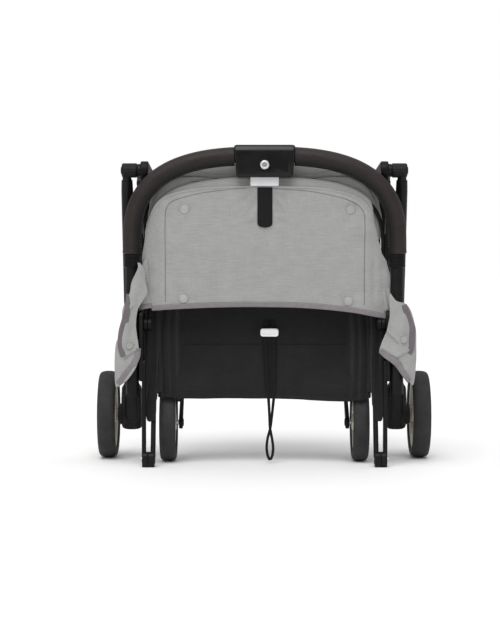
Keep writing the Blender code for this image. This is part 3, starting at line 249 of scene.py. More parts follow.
def rubber_material(name):
    """Matt foam rubber with a fine skin and dust in it."""
    made, tree, surface, place = shader(name, 0.72, Specular_IOR_Level=0.35)
    fine = speckle(tree, place, 1600.0, 4.0)
    shade = mixed(tree, (fine, 0.4), (speckle(tree, place, 60.0, 4.0), 0.6))
    paint(tree, surface, shade, (0.35, (0.016, 0.016, 0.017)), (0.7, (0.032, 0.032, 0.034)))
    bump(tree, surface, fine, 0.00012)
    return made


def webbing_material(name, dark, light):
    """Ribbed woven webbing."""
    made, tree, surface, place = shader(
        name, 0.7, Sheen_Weight=0.06, Sheen_Roughness=0.4, Specular_IOR_Level=0.12
    )
    threads = speckle(tree, place, 1.0, 2.0, (1500, 1500, 150))
    shade = mixed(tree, (weave_height(tree, place, 0.0017), 0.5), (threads, 0.5))
    paint(tree, surface, shade, (0.3, dark), (0.75, light))
    bump(tree, surface, shade, 0.0004)
    return made


# Each look by its name: its slot in the record, its maker, its darker and lighter shade and
# the maker's settings
GREY, BLACK, NYLON = "grey_fabric", "black_fabric", "black_plastic"
LOOKS = {
    "grey": (GREY, cloth_material, (0.266, 0.268, 0.260), (0.362, 0.364, 0.353), 0.0011, 0.00022, 0.85, 0.25),
    # seam: darker grey cloth that paints the shade of the panel's seam grooves and of the pleats' creases
    "seam": (GREY, cloth_material, (0.12, 0.12, 0.118), (0.20, 0.20, 0.195), 0.0009, 0.0002, 0.9, 0.1),
    "binding": (GREY, cloth_material, (0.165, 0.150, 0.158), (0.245, 0.226, 0.236), 0.0008, 0.00018, 0.8,
                0.2),
    "band": (GREY, cloth_material, (0.110, 0.092, 0.104), (0.175, 0.150, 0.166), 0.0008, 0.00018, 0.8, 0.15),
    "grey_thread": (GREY, plastic_material, (0.30, 0.29, 0.30), (0.42, 0.41, 0.42), 0.6, 3000.0, 0.0001),
    "snap": (GREY, plastic_material, (0.29, 0.293, 0.285), (0.36, 0.363, 0.355), 0.34, 800.0, 0.00004),
    "black_cloth": (BLACK, cloth_material, (0.0068, 0.0068, 0.0071), (0.0145, 0.0145, 0.0150), 0.0009, 0.0002,
                    0.85, 0.12),
    "black_pad": (BLACK, cloth_material, (0.013, 0.013, 0.014), (0.032, 0.032, 0.034), 0.0022, 0.0005, 0.9,
                  0.15),
    "webbing": (BLACK, webbing_material, (0.005, 0.005, 0.0054), (0.014, 0.014, 0.0146)),
    "leather": ("leatherette", leather_material),
    "thread": ("leatherette", plastic_material, (0.05, 0.042, 0.04), (0.09, 0.078, 0.073), 0.6, 3000.0,
               0.0001),
    "rubber": ("tyre_rubber", rubber_material),
    "plastic": (NYLON, plastic_material, (0.0030, 0.0031, 0.0036), (0.0060, 0.0061, 0.0068), 0.40, 1500.0,
                0.0001),
    "housing": (NYLON, plastic_material, (0.0012, 0.0012, 0.0015), (0.0026, 0.0026, 0.0031), 0.22, 1500.0,
                0.00004),
    "casting": (NYLON, plastic_material, (0.012, 0.012, 0.0125), (0.019, 0.019, 0.0195), 0.5, 1200.0, 0.0001),
    "hub": (NYLON, plastic_material, (0.004, 0.004, 0.0045), (0.011, 0.011, 0.012), 0.5, 420.0, 0.0006),
    "white": ("off_white", plastic_material, (0.90, 0.905, 0.885), (0.95, 0.955, 0.935), 0.38, 1500.0,
              0.00004),
    "tab": ("off_white", plastic_material, (0.68, 0.685, 0.70), (0.76, 0.765, 0.78), 0.4, 1500.0, 0.00004),
    "silver": ("steel", plastic_material, (0.62, 0.63, 0.64), (0.72, 0.73, 0.74), 0.3, 900.0, 0.00003),
    "button_grey": ("steel", plastic_material, (0.22, 0.23, 0.235), (0.30, 0.31, 0.315), 0.45, 900.0,
                    0.00005),
    "metal": ("black_metal", metal_material, (0.0045, 0.0045, 0.0050), (0.0085, 0.0085, 0.0092), 0.38, 0.0,
              (900, 900, 900), 0.00005),
    "rim": ("rim_plastic", metal_material, (0.46, 0.43, 0.35), (0.60, 0.57, 0.48), 0.36, 0.25,
            (700, 700, 700),
            0.00004),
    "steel": ("steel", metal_material, (0.55, 0.55, 0.56), (0.72, 0.72, 0.73), 0.26, 1.0, (2000, 200, 2000),
              0.00003),
}
# What some shaders have besides
SHEEN = {
    "plastic": {"Specular_IOR_Level": 0.14}, "housing": {"Specular_IOR_Level": 0.28},
    "casting": {"Specular_IOR_Level": 0.2}, "hub": {"Specular_IOR_Level": 0.2}, "silver": {"Metallic": 0.4},
    "metal": {"Specular_IOR_Level": 0.16}, "rim": {"Coat_Weight": 0.15, "Coat_Roughness": 0.3},
}
SURFACES = {}
for look, (look_slot, maker, *settings) in LOOKS.items():
    SURFACES[look] = (maker(look, *settings, **SHEEN.get(look, {})), look_slot)


# Curves

def smooth_step(t):
    t = max(0.0, min(1.0, t))
    return t * t * (3 - 2 * t)


def bell(distance, width):
    return exp(-(distance / width) ** 2)


def stations(start, end, count):
    return [start + (end - start) * i / count for i in range(count + 1)]


def reaches(points):
    """How far along a path each of its points lies."""
    made = [0.0]
    for a, b in zip(points, points[1:]):
        made.append(made[-1] + (b - a).length)
    return made


def point_at(points, reach, distance):
    """The point of a path at a distance along it."""
    k = 0
    while k < len(points) - 2 and distance > reach[k + 1]:
        k += 1
    share = (distance - reach[k]) / max(1e-9, reach[k + 1] - reach[k])
    return points[k].lerp(points[k + 1], min(1.0, share))


def flow(points, count):
    """count + 1 points on a smooth curve through the given points, which may be tuples of any length."""
    points = [Vector(p) for p in points]
    reach = reaches(points)
    made = []
    for i in range(count + 1):
        at = reach[-1] * i / count
        k = 0
        while k < len(points) - 2 and at > reach[k + 1]:
            k += 1
        span = reach[k + 1] - reach[k]
        t = (at - reach[k]) / span
        more = k + 2 < len(points)
        before = points[k - 1] if k else points[k] * 2 - points[k + 1]
        after = points[k + 2] if more else points[k + 1] * 2 - points[k]
        before_span = reach[k] - reach[k - 1] if k else span
        after_span = reach[k + 2] - reach[k + 1] if more else span
        slope_a = (points[k + 1] - before) * (span / (span + before_span))
        slope_b = (after - points[k]) * (span / (span + after_span))
        made.append(
            points[k] * (2 * t ** 3 - 3 * t ** 2 + 1) + slope_a * (t ** 3 - 2 * t ** 2 + t)
            + points[k + 1] * (3 * t ** 2 - 2 * t ** 3) + slope_b * (t ** 3 - t ** 2)
        )
    return made


def read(pairs, at):
    """The value at a place between rows of (place, value), eased between them."""
    if at <= pairs[0][0]:
        return pairs[0][1]
    for (a, low), (b, high) in zip(pairs, pairs[1:]):
        if at <= b:
            return low + (high - low) * smooth_step((at - a) / (b - a))
    return pairs[-1][1]


def circle_points(centre, radius, count):
    angles = [2 * pi * i / count for i in range(count)]
    return [(centre[0] + radius * cos(angle), centre[1] + radius * sin(angle)) for angle in angles]


def circle(centre, side, other, radius, count):
    """Points round a centre, in the plane of two directions."""
    angles = [2 * pi * k / count for k in range(count)]
    return [centre + radius * (cos(angle) * side + sin(angle) * other) for angle in angles]


def squircle(count, power):
    """Places round a rounded square of half size 1."""
    made = []
    for k in range(count):
        a, b = cos(2 * pi * (k + 0.5) / count), sin(2 * pi * (k + 0.5) / count)
        scale = (abs(a) ** power + abs(b) ** power) ** (-1 / power)
        made.append((a * scale, b * scale))
    return made


def arch(angle, half, low, top, power):
    """A place on an arch with squared shoulders, as (across, up)."""
    across = half * abs(cos(angle)) ** (2 / power)
    return across if cos(angle) >= 0 else -across, low + (top - low) * max(0.0, sin(angle)) ** (2 / power)


def hull_outline(circles, count=48, floor=None):
    """The convex outline round circles given as (y, z, radius), cut flat at the floor where one is given."""
    points = [p for y, z, r in circles for p in circle_points((y, z), r, count)]
    if floor is not None:
        points = [(a, max(b, floor)) for a, b in points]
    points = sorted(set((round(a, 7), round(b, 7)) for a, b in points))

    def half(sequence):
        chain = []
        for p in sequence:
            while len(chain) > 1:
                (ax, ay), (bx, by) = chain[-2], chain[-1]
                if (bx - ax) * (p[1] - ay) - (by - ay) * (p[0] - ax) > 1e-12:
                    break
                chain.pop()
            chain.append(p)
        return chain[:-1]

    return half(points) + half(points[::-1])


def rounded_outline(corners, radius, steps=8):
    """A polygon with each corner replaced by a short curve."""
    outline = []
    for i, corner in enumerate(corners):
        corner = Vector(corner)
        before = (Vector(corners[i - 1]) - corner).normalized()
        after = (Vector(corners[(i + 1) % len(corners)]) - corner).normalized()
        angle = acos(max(-1.0, min(1.0, before.dot(after))))
        reach = radius / max(0.2, abs(tan(angle / 2)))
        start, end = corner + before * reach, corner + after * reach
        for t in stations(0.0, 1.0, steps):
            outline.append(tuple((1 - t) ** 2 * start + 2 * t * (1 - t) * corner + t ** 2 * end))
    return outline


def rounded_box(left, right, low, high, radius):
    return rounded_outline([(left, high), (left, low), (right, low), (right, high)], radius)


def inset(outline, by):
    """A closed outline moved inward everywhere by the same distance."""
    if not by:
        return outline
    count = len(outline)
    area = sum(outline[i - 1][0] * outline[i][1] - outline[i][0] * outline[i - 1][1] for i in range(count))
    turn = 1 if area > 0 else -1
    made = []
    for i in range(count):
        before, here, after = Vector(outline[i - 1]), Vector(outline[i]), Vector(outline[(i + 1) % count])
        a, b = (here - before).normalized(), (after - here).normalized()
        normal = Vector((-(a.y + b.y), a.x + b.x))
        if normal.length < 1e-9:
            normal = Vector((-a.y, a.x))
        normal.normalize()
        spread = max(0.5, normal.dot(Vector((-a.y, a.x))))
        made.append(tuple(here + normal * (turn * by / spread)))
    return made


def along(start, direction, distance):
    return (start[0] + direction[0] * distance, start[1] + direction[1] * distance)


def unit(start, end):
    length = hypot(end[0] - start[0], end[1] - start[1])
    return ((end[0] - start[0]) / length, (end[1] - start[1]) / length), length


def sleeve(low, high, inner, outer, edge):
    """The profile of a ring with rounded edges, as (place, radius)."""
    return [(low, inner), (low, outer - edge), (low + edge, outer), (high - edge, outer),
            (high, outer - edge), (high, inner)]


# Meshes

def skin(rings, loop=False, made=None):
    """Faces through rings of points that all have the same count; loop joins the last ring to the first."""
    made = made or bmesh.new()
    rows = [[made.verts.new(point) for point in ring] for ring in rings]
    pairs = list(zip(rows, rows[1:]))
    if loop:
        pairs.append((rows[-1], rows[0]))
    for low, high in pairs:
        count = len(low)
        for i in range(count):
            made.faces.new((low[i], low[(i + 1) % count], high[(i + 1) % count], high[i]))
    if not loop:
        made.faces.new(rows[0])
        made.faces.new(rows[-1])
    return made


def layers(outline, steps, across="x", made=None):
    """A solid through an outline at each step's place along an axis, drawn in by the step's amount."""
    rings = []
    for at, by in steps:
        rings.append([(at, a, b) if across == "x" else (a, at, b) for a, b in inset(outline, by)])
    return skin(rings, made=made)


def prism(outline, low, high, across="x", made=None):
    return layers(outline, ((low, 0.0), (high, 0.0)), across, made)


def plate(outline, low, high, edge, across="x", made=None):
    """A plate with rounded edges between two planes."""
    way = 1 if high > low else -1
    levels = [(edge * (1 - cos(angle)), edge * (1 - sin(angle))) for angle in stations(0.0, pi / 2, 3)]
    steps = [(low + way * depth, by) for depth, by in levels]
    steps += [(high - way * depth, by) for depth, by in reversed(levels)]
    return layers(outline, steps, across, made)


def turned(profile, centre, count=48, made=None, axis="x", sign=1):
    """A solid turned about an axis along X through (y, z) or along Y through (x, z), from (place, radius)."""
    rings = []
    for place, radius in profile:
        ring = circle_points(centre, radius, count)
        rings.append([(sign * place, a, b) if axis == "x" else (a, place, b) for a, b in ring])
    return skin(rings, made=made)


def ring_turned(profile, centre, count, made=None, sign=1):
    """A ring turned about an axis along X, from a closed profile of (x, radius) that stays off the axis."""
    rings = []
    for angle in [2 * pi * i / count for i in range(count)]:
        rings.append([(sign * x, centre[0] + r * cos(angle), centre[1] + r * sin(angle)) for x, r in profile])
    return skin(rings, loop=True, made=made)


def dome(x_base, out, radius, centre, made=None, count=32, height=0.0016):
    """A low round bolt head on a face square to X, standing out by out's sign."""
    profile = ((-0.001, 1.0), (height * 0.45, 1.0), (height * 0.8, 0.86), (height, 0.55))
    return turned([(x_base + out * up, radius * share) for up, share in profile], centre, count, made)


def frames(path):
    """A tangent and two side directions at each point of a path, without twist."""
    points = [Vector(p) for p in path]
    last = len(points) - 1
    made = []
    side = None
    for i in range(last + 1):
        tangent = (points[min(i + 1, last)] - points[max(i - 1, 0)]).normalized()
        side = side or tangent.orthogonal().normalized()
        side = (side - tangent * side.dot(tangent)).normalized()
        made.append((points[i], tangent, side, tangent.cross(side)))
    return made


def pipe(path, radius, sides=24, made=None):
    """A round bar along a path. radius is a number, or one for each point."""
    rings = []
    for i, (point, _, side, other) in enumerate(frames(path)):
        rings.append(circle(point, side, other, radius[i] if isinstance(radius, list) else radius, sides))
    return skin(rings, made=made)


def ribbon(path, width, thickness, facing=BACK_TO_FRONT, sides=16, made=None, power=4.0):
    """A flat band with rounded edges along a path. facing is where its flat side looks, width one or many."""
    rings = []
    for i, (point, tangent, _, _) in enumerate(frames(path)):
        look_way = facing[i] if isinstance(facing, list) else facing
        thin = (look_way - tangent * look_way.dot(tangent)).normalized()
        wide = tangent.cross(thin)
        half = (width[i] if isinstance(width, list) else width) / 2
        rings.append([point + wide * (a * half) + thin * (b * thickness / 2)
                      for a, b in squircle(sides, power)])
    return skin(rings, made=made)


def stitches(path, length, thickness, pitch=0.0030, made=None):
    """A row of short threads along a path, each a small rounded bar."""
    made = made or bmesh.new()
    points = [Vector(p) for p in path]
    reach = reaches(points)
    count = max(1, int(reach[-1] / pitch))
    for i in range(count):
        middle = (i + 0.5) * reach[-1] / count
        a, b = [point_at(points, reach, middle + side * length / 2) for side in (-1, 1)]
        widths = [thickness * 0.6, thickness, thickness * 0.6]
        ribbon([a, a.lerp(b, 0.5), b], widths, thickness, sides=6, made=made, power=2.0)
    return made


def grid(place, columns, rows):
    """An open sheet of quads through place(u, v)."""
    made = bmesh.new()
    points = [[made.verts.new(place(i / columns, j / rows)) for i in range(columns + 1)]
              for j in range(rows + 1)]
    for j in range(rows):
        for i in range(columns):
            made.faces.new((points[j][i], points[j][i + 1], points[j + 1][i + 1], points[j + 1][i]))
    return made


def two_sided(place, columns, rows):
    """A solid between two sheets, place(u, v, False) and place(u, v, True), with u and v from -1 to 1."""
    made = bmesh.new()
    sheets = []
    for top in (False, True):
        sheets.append([[made.verts.new(place(2 * i / columns - 1, 2 * j / rows - 1, top))
                        for i in range(columns + 1)] for j in range(rows + 1)])
    low, high = sheets
    for j in range(rows):
        for i in range(columns):
            made.faces.new((low[j][i], low[j + 1][i], low[j + 1][i + 1], low[j][i + 1]))
            made.faces.new((high[j][i], high[j][i + 1], high[j + 1][i + 1], high[j + 1][i]))
    edge = [(0, i) for i in range(columns)] + [(j, columns) for j in range(rows)]
    edge += [(rows, i) for i in range(columns, 0, -1)] + [(j, 0) for j in range(rows, 0, -1)]
    for (j, i), (next_j, next_i) in zip(edge, edge[1:] + edge[:1]):
        made.faces.new((low[j][i], low[next_j][next_i], high[next_j][next_i], high[j][i]))
    return made


def placed(name, data):
    """A new object in the scene."""
    obj = bpy.data.objects.new(name, data)
    bpy.context.scene.collection.objects.link(obj)
    return obj


def mesh_object(name, made):
    """Turns a bmesh into an object, with its faces looking outward."""
    bmesh.ops.recalc_face_normals(made, faces=made.faces)
    mesh = bpy.data.meshes.new(name)
    made.to_mesh(mesh)
    made.free()
    return placed(name, mesh)


def settle(obj):
    """Applies every modifier, so that the mesh is final."""
    bpy.context.view_layer.update()
    final = bpy.data.meshes.new_from_object(obj.evaluated_get(bpy.context.evaluated_depsgraph_get()))
    obj.modifiers.clear()
    obj.data = final


def modify(obj, kind, **settings):
    modifier = obj.modifiers.new(kind.lower(), kind)
    for setting, value in settings.items():
        setattr(modifier, setting, value)
    return modifier


def cloth(thickness, offset=0.0):
    return ("SOLIDIFY", {"thickness": thickness, "offset": offset})


def piece(name, made, look, body, replaces=(), modifiers=(), smooth=40, cutters=()):
    """Turns a bmesh into a piece of the stroller that rides on a body."""
    obj = mesh_object(name, made)
    surface, look_slot = SURFACES[look]
    obj.data.materials.append(surface)
    tools = [mesh_object(f"{name}_cutter_{k}", cutter) for k, cutter in enumerate(cutters)]
    for tool in tools:
        modify(obj, "BOOLEAN", operation="DIFFERENCE", object=tool)
    for kind, settings in modifiers:
        modify(obj, kind, **settings)
    if obj.modifiers:
        settle(obj)
    for tool in tools:
        bpy.data.objects.remove(tool)
    for polygon in obj.data.polygons:
        polygon.use_smooth = True
    obj.data.set_sharp_from_angle(angle=radians(smooth))
    if replaces:
        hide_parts(*replaces)
    if body:
        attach(obj, body)
    return obj


# Handle

def handle_line():
    """Points down the right half of the handle's centre line, from its middle to its low end."""
    line = []
    for angle in stations(pi / 2, 0.0, 600):
        x, z = arch(angle, HANDLE_HALF, HANDLE_SHOULDER, HANDLE_TOP, HANDLE_POWER)
        line.append(Vector((x, HANDLE_Y, z)))
    return line + [Vector((HANDLE_HALF, HANDLE_Y, HANDLE_LOW))]


HANDLE_LINE = handle_line()
HANDLE_REACH = reaches(HANDLE_LINE)


def handle_at(distance, sign=1):
    point = point_at(HANDLE_LINE, HANDLE_REACH, distance)
    return Vector((sign * point.x, point.y, point.z))


def handle_distance(z):
    """How far down the path the straight side passes a height."""
    return HANDLE_REACH[-1] - (z - HANDLE_LOW)


def on_grip(distance, sign, angle, radius):
    """A place round the handle's path. The angle runs from the inside of the arch towards the back."""
    step = 0.002
    point = handle_at(distance, sign)
    tangent = (handle_at(distance + step, sign) - handle_at(max(0.0, distance - step), sign)).normalized()
    inward = BACK_TO_FRONT.cross(tangent).normalized()
    if inward.dot(Vector((0, HANDLE_Y, HANDLE_SHOULDER)) - point) < 0:
        inward = -inward
    return point + radius * (cos(angle) * inward - sin(angle) * BACK_TO_FRONT)


def grip(side, sign):
    """The leatherette sleeve of one side: a round wrap drawn in along its seam, with a rolled lower lip."""
    start, end = HOUSING_TOP_HALF - 0.001, handle_distance(GRIP_END_Z)
    sides = 72
    rings = []
    for d in stations(start, end, 90):
        lip = 0.0006 * bell(end - d - 0.0022, 0.0016)
        close = max(0.0, 1 - (end - d) / 0.0014)
        ring = []
        for angle in stations(0.0, 2 * pi, sides)[:-1]:
            away = abs((angle - SEAM_TURN + pi) % (2 * pi) - pi)
            seam = 0.0008 * bell(away, radians(5)) - 0.00025 * bell(away - radians(13), radians(6))
            ring.append(on_grip(d, sign, angle, GRIP_R - 0.0003 + lip - 0.0012 * close ** 2 - seam))
        rings.append(ring)
    piece(f"grip_leather_{side}", skin(rings), "leather", "handle", [f"grip_{side}"])
    made = bmesh.new()
    pitch, half, lean = 0.0046, 0.0011, radians(9)
    for k in range(int((end - start - 0.01) / pitch)):
        middle = start + 0.006 + k * pitch
        thread = [on_grip(middle + way * half, sign, SEAM_TURN + way * lean,
                          GRIP_R + (0.00005 if way else -0.0001))
                  for way in (-1, 0, 1)]
        pipe(thread, 0.00042, 6, made)
    piece(f"grip_stitching_{side}", made, "thread", "handle")


def collar(side, sign):
    """The moulded ring between the leatherette and the bare tube, with a shallow groove round it."""
    start, end = handle_distance(GRIP_END_Z), handle_distance(COLLAR_END_Z)
    inner, groove = HANDLE_R - 0.001, COLLAR_R - 0.0005
    profile = [
        (start + 0.0003, inner), (start + 0.0003, COLLAR_R - 0.0004), (start + 0.0008, COLLAR_R),
        (start + 0.0050, COLLAR_R), (start + 0.0053, groove), (start + 0.0061, groove),
        (start + 0.0064, COLLAR_R),
        (end - 0.0016, COLLAR_R), (end - 0.0004, COLLAR_R - 0.0008), (end, COLLAR_R - 0.0016), (end, inner),
    ]
    rings = [circle(handle_at(d, sign), ACROSS, BACK_TO_FRONT, radius, 48) for d, radius in profile]
    piece(f"grip_ring_{side}", skin(rings), "plastic", "handle", [f"grip_collar_{side}"], smooth=30)


def handle_bar():
    left = [handle_at(d, -1) for d in stations(HANDLE_REACH[-1], 0.0, 110)]
    right = [handle_at(d, 1) for d in stations(0.0, HANDLE_REACH[-1], 110)]
    piece("handle_bar", pipe(left[:-1] + right, HANDLE_R, 40), "metal", "handle", ["handle_tube"])


def housing():
    """The handle's two shells: bevelled edges, a dished seat round the button and four small screw caps."""
    rear_low, rear_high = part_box("housing_rear")
    front_low, front_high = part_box("housing_front")
    slot_low, slot_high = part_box("release_tab")
    face, top, low = rear_low.y, rear_high.z, rear_low.z
    bevel = ((0.0, 0.0030), (0.0004, 0.0018), (0.0012, 0.0008), (0.0026, 0.0), (0.0040, 0.0), (0.0058, 0.0))

    def shell(edge, split):
        way = 1 if split > edge else -1
        rings = []
        for y, by in [(edge + way * d, by) for d, by in bevel] + [(split - way * 0.0004, 0.0),
                                                                  (split, 0.0004)]:
            crown = 0.0070 * max(0.0, 1 - abs(y - edge) / 0.0058) ** 1.5
            wide, narrow = HOUSING_TOP_HALF - by, HOUSING_BOTTOM_HALF - by
            corners = [(-wide, top - by), (-narrow, low + by), (narrow, low + by), (wide, top - by)]
            rings.append([(x, y, z - crown * smooth_step((z - top + 0.010) / 0.006))
                          for x, z in rounded_outline(corners, 0.0052 - by)])
        return skin(rings)

    def tab_slot():
        left, right, near, far = slot_low.x - GAP, slot_high.x + GAP, slot_low.y - GAP, slot_high.y + GAP
        corners = ((left, near), (right, near), (right, far), (left, far))
        return skin([[(x, y, z) for x, y in corners] for z in (low - 0.01, slot_high.z + 0.0065)])

    screws = [(-0.0368, 0.4725), (0.0342, 0.4725), (-0.0340, 0.4477), (0.0320, 0.4477)]
    holes = [turned([(face - 0.002, 0.0019), (face + 0.0009, 0.0017)], spot, 20, axis="y") for spot in screws]
    bore, dish = BUTTON_R + GAP, 0.0088
    seat = [(face - 0.004, dish + 0.001), (face - 0.0001, dish), (face + 0.0013, bore), (face + 0.0085, bore)]
    cutters = [turned(seat, (0.0, BUTTON_Z), 56, axis="y"), tab_slot()] + holes
    piece("handle_housing_rear", shell(face, rear_high.y), "housing", "handle", ["housing_rear"],
          cutters=cutters,
          smooth=28)
    piece("handle_housing_front", shell(front_high.y, front_low.y), "housing", "handle", ["housing_front"],
          cutters=[tab_slot()], smooth=28)
    made = bmesh.new()
    for spot in screws:
        turned([(face + 0.0016, 0.0015), (face + 0.0005, 0.0015), (face + 0.0003, 0.0012)], spot, 20, made,
               "y")
    piece("housing_screw_caps", made, "metal", "handle")


def button():
    """The silver fold button: a rolled rim round a grey disc. Places are depth and way inside the rim."""
    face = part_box("fold_button")[0].y
    rim = ((0.0055, 0.0004), (0.0018, 0.0001), (0.0008, 0.0006), (0.0002, 0.0017), (0.0, 0.0026),
           (0.0004, 0.0033),
           (0.0012, 0.0036))
    disc = ((0.002, 0.0035), (0.0009, 0.0037), (0.0006, BUTTON_R - 0.0020), (0.0005, BUTTON_R - 0.0004))
    for name, places, count, look, replaces in (("button_ring", rim, 56, "silver", ["fold_button"]),
                                                ("button_centre", disc, 40, "button_grey", [])):
        made = turned([(face + d, BUTTON_R - by) for d, by in places], (0.0, BUTTON_Z), count, axis="y")
        piece(name, made, look, "fold_button", replaces, smooth=50)


def release_tab():
    low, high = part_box("release_tab")
    made = prism(rounded_box(low.x, high.x, low.z, high.z, 0.0022), low.y, high.y, "y")
    bevel = {"width": 0.0009, "segments": 3, "angle_limit": radians(35), "limit_method": "ANGLE"}
    piece("release_pull", made, "tab", "release_tab", ["release_tab"], [("BEVEL", bevel)], smooth=35)


# Bars, legs and frame

ARM_IN = 0.165
ARM_OUT = 0.172
LINK_IN = 0.179
LINK_OUT = 0.185
FRAME_IN = 0.176
FRAME_OUT = 0.188
LOBE_SPLIT = 0.1755
FRAME_EYE_R = 0.014
BAR_HALF = 0.008
ARM_EYE_R = 0.013
PIN_R = 0.004
FOOT = ((-0.0065, -0.0055, 0.006), (0.002, -0.0075, 0.004), (-0.0025, 0.003, 0.0085))
PLATE_IN = LINK_OUT - 0.002
HUB_X = 0.2045
HUB_W = 0.024
HUB_R = 0.011
REAR_LEG_X = 0.209
REAR_LEG_R = 0.009
REAR_LEG_DIR = unit(REAR_PIVOT, REAR_AXLE)[0]
REAR_LEG_ACROSS = (-REAR_LEG_DIR[1], REAR_LEG_DIR[0])
HOUSING_START = 0.3395
HOUSING_L = 0.077
HOUSING_HALF_W = 0.0175
HOUSING_HALF_D = 0.019
AXLE_BOSS_R = 0.0165
CROSSBAR_R = 0.008
REAR_CROSSBAR = along(REAR_PIVOT, REAR_LEG_DIR, (REAR_PIVOT[1] - 0.165) / -REAR_LEG_DIR[1])
REAR_TYRE = (0.246, 0.028, 0.0685)
FRONT_TYRE = (0.1485, 0.025, 0.060)
TYRE_DEPTH = 0.014
RIM_HUB_R = 0.0125
FRONT_LEG_X = 0.197
FRONT_LEG_R = 0.0075
FRONT_TUBE_SHARE = 0.68
CASTER_UP = (sin(radians(37.2)), cos(radians(37.2)))
CASTER_AHEAD = (CASTER_UP[1], -CASTER_UP[0])
CASTER_FOOT = along(FRONT_AXLE, CASTER_AHEAD, 0.025)
CASTER_BRIDGE = 0.0605
CASTER_BRIDGE_T = 0.006
CASTER_HOUSING_LOW = 0.0668
CASTER_HOUSING_L = 0.031
CASTER_HOUSING_R = 0.0125
STEM_R = 0.006


def side_frame(side, sign):
    """The plate that carries every pivot, with a recess in both faces, the bolt heads and the pivot pins."""
    outline = hull_outline([(*pivot, FRAME_EYE_R)
                            for pivot in (REAR_PIVOT, FRONT_PIVOT, SEAT_PIVOT, ARM_PIVOT)], 64)
    recess = hull_outline([(*spot, 0.0062)
                           for spot in ((-0.060, 0.443), (0.074, 0.434), (0.080, 0.392), (-0.006, 0.384))],
                          32)
    deep, proud = 0.0018, 0.004
    cutters = [plate(recess, sign * (FRAME_OUT - deep), sign * (FRAME_OUT + proud), 0.0005),
               plate(recess, sign * (FRAME_IN + deep), sign * (FRAME_IN - proud), 0.0005)]
    piece(f"side_plate_{side}", plate(outline, sign * FRAME_IN, sign * FRAME_OUT, 0.0022), "plastic", "root",
          [f"side_frame_{side}"], cutters=cutters, smooth=32)
    made = bmesh.new()
    sunk, leg_end = 0.003, FRONT_LEG_X + FRONT_LEG_R + 0.0012
    turned([(FRAME_OUT - sunk, 0.010), (HUB_X - HUB_W / 2 - GAP, 0.010)], REAR_PIVOT, 48, made, sign=sign)
    for centre in (FRONT_PIVOT, ARM_PIVOT, SEAT_PIVOT):
        if centre != FRONT_PIVOT:
            dome(sign * FRAME_OUT, sign, 0.0072, centre, made)
        dome(sign * FRAME_IN, -sign, 0.0042, centre, made, height=0.001)
    for start, end, way, pivot in ((FRAME_OUT - sunk, leg_end, 1, FRONT_PIVOT),
                                   (FRAME_IN + sunk, ARM_IN - 0.0006, -1, ARM_PIVOT)):
        turned([(start, PIN_R), (end, PIN_R), (end + way * 0.0004, PIN_R - 0.0006)], pivot, 32, made,
               sign=sign)
    piece(f"side_bolts_{side}", made, "metal", "root", smooth=35)


def cross_tube(name, place, half, radius, body, node_name):
    made = pipe([(x, *place) for x in stations(-half, half, 8)], radius, 36)
    piece(name, made, "metal", body, [node_name])


def leg_point(x, distance):
    return (x, *along(REAR_PIVOT, REAR_LEG_DIR, distance))


def rear_leg(side, sign):
    """The knurled hub at the top of a rear leg, with its neck and cap, and the leg's tube."""
    low, high = HUB_X - HUB_W / 2, HUB_X + HUB_W / 2
    edge, sides, ribs, deep = 0.0022, 96, 16, 0.00055
    ends = ((0.0, edge), (edge * 0.35, edge * 0.4), (edge, 0.0))
    profile = [(low + by, HUB_R - less) for by, less in ends]
    profile += [(x, HUB_R) for x in stations(low + edge, high - edge, 6)[1:-1]]
    profile += [(high - by, HUB_R - less) for by, less in reversed(ends)]
    rings = []
    for x, radius in profile:
        ring = []
        for angle in stations(0.0, 2 * pi, sides)[:-1]:
            r = radius - (deep if HUB_R - radius < 1e-6 else 0.0) * (0.5 + 0.5 * cos(ribs * angle)) ** 2
            ring.append((sign * x, REAR_PIVOT[0] + r * cos(angle), REAR_PIVOT[1] + r * sin(angle)))
        rings.append(ring)
    made = skin(rings)
    pipe([leg_point(sign * REAR_LEG_X, d) for d in stations(0.004, 0.034, 6)], 0.0068, 32, made)
    dome(sign * high, sign, 0.0058, REAR_PIVOT, made)
    piece(f"leg_hub_{side}", made, "hub", "rear_legs", [f"rear_hub_{side}"], smooth=45)
    path = [leg_point(sign * REAR_LEG_X, d) for d in stations(0.0155, HOUSING_START - GAP, 20)]
    radii = [REAR_LEG_R - (0.0006 if k in (0, 20) else 0.0) for k in range(21)]
    piece(f"leg_tube_{side}", pipe(path, radii, 40), "metal", "rear_legs", [f"rear_leg_{side}"], smooth=50)


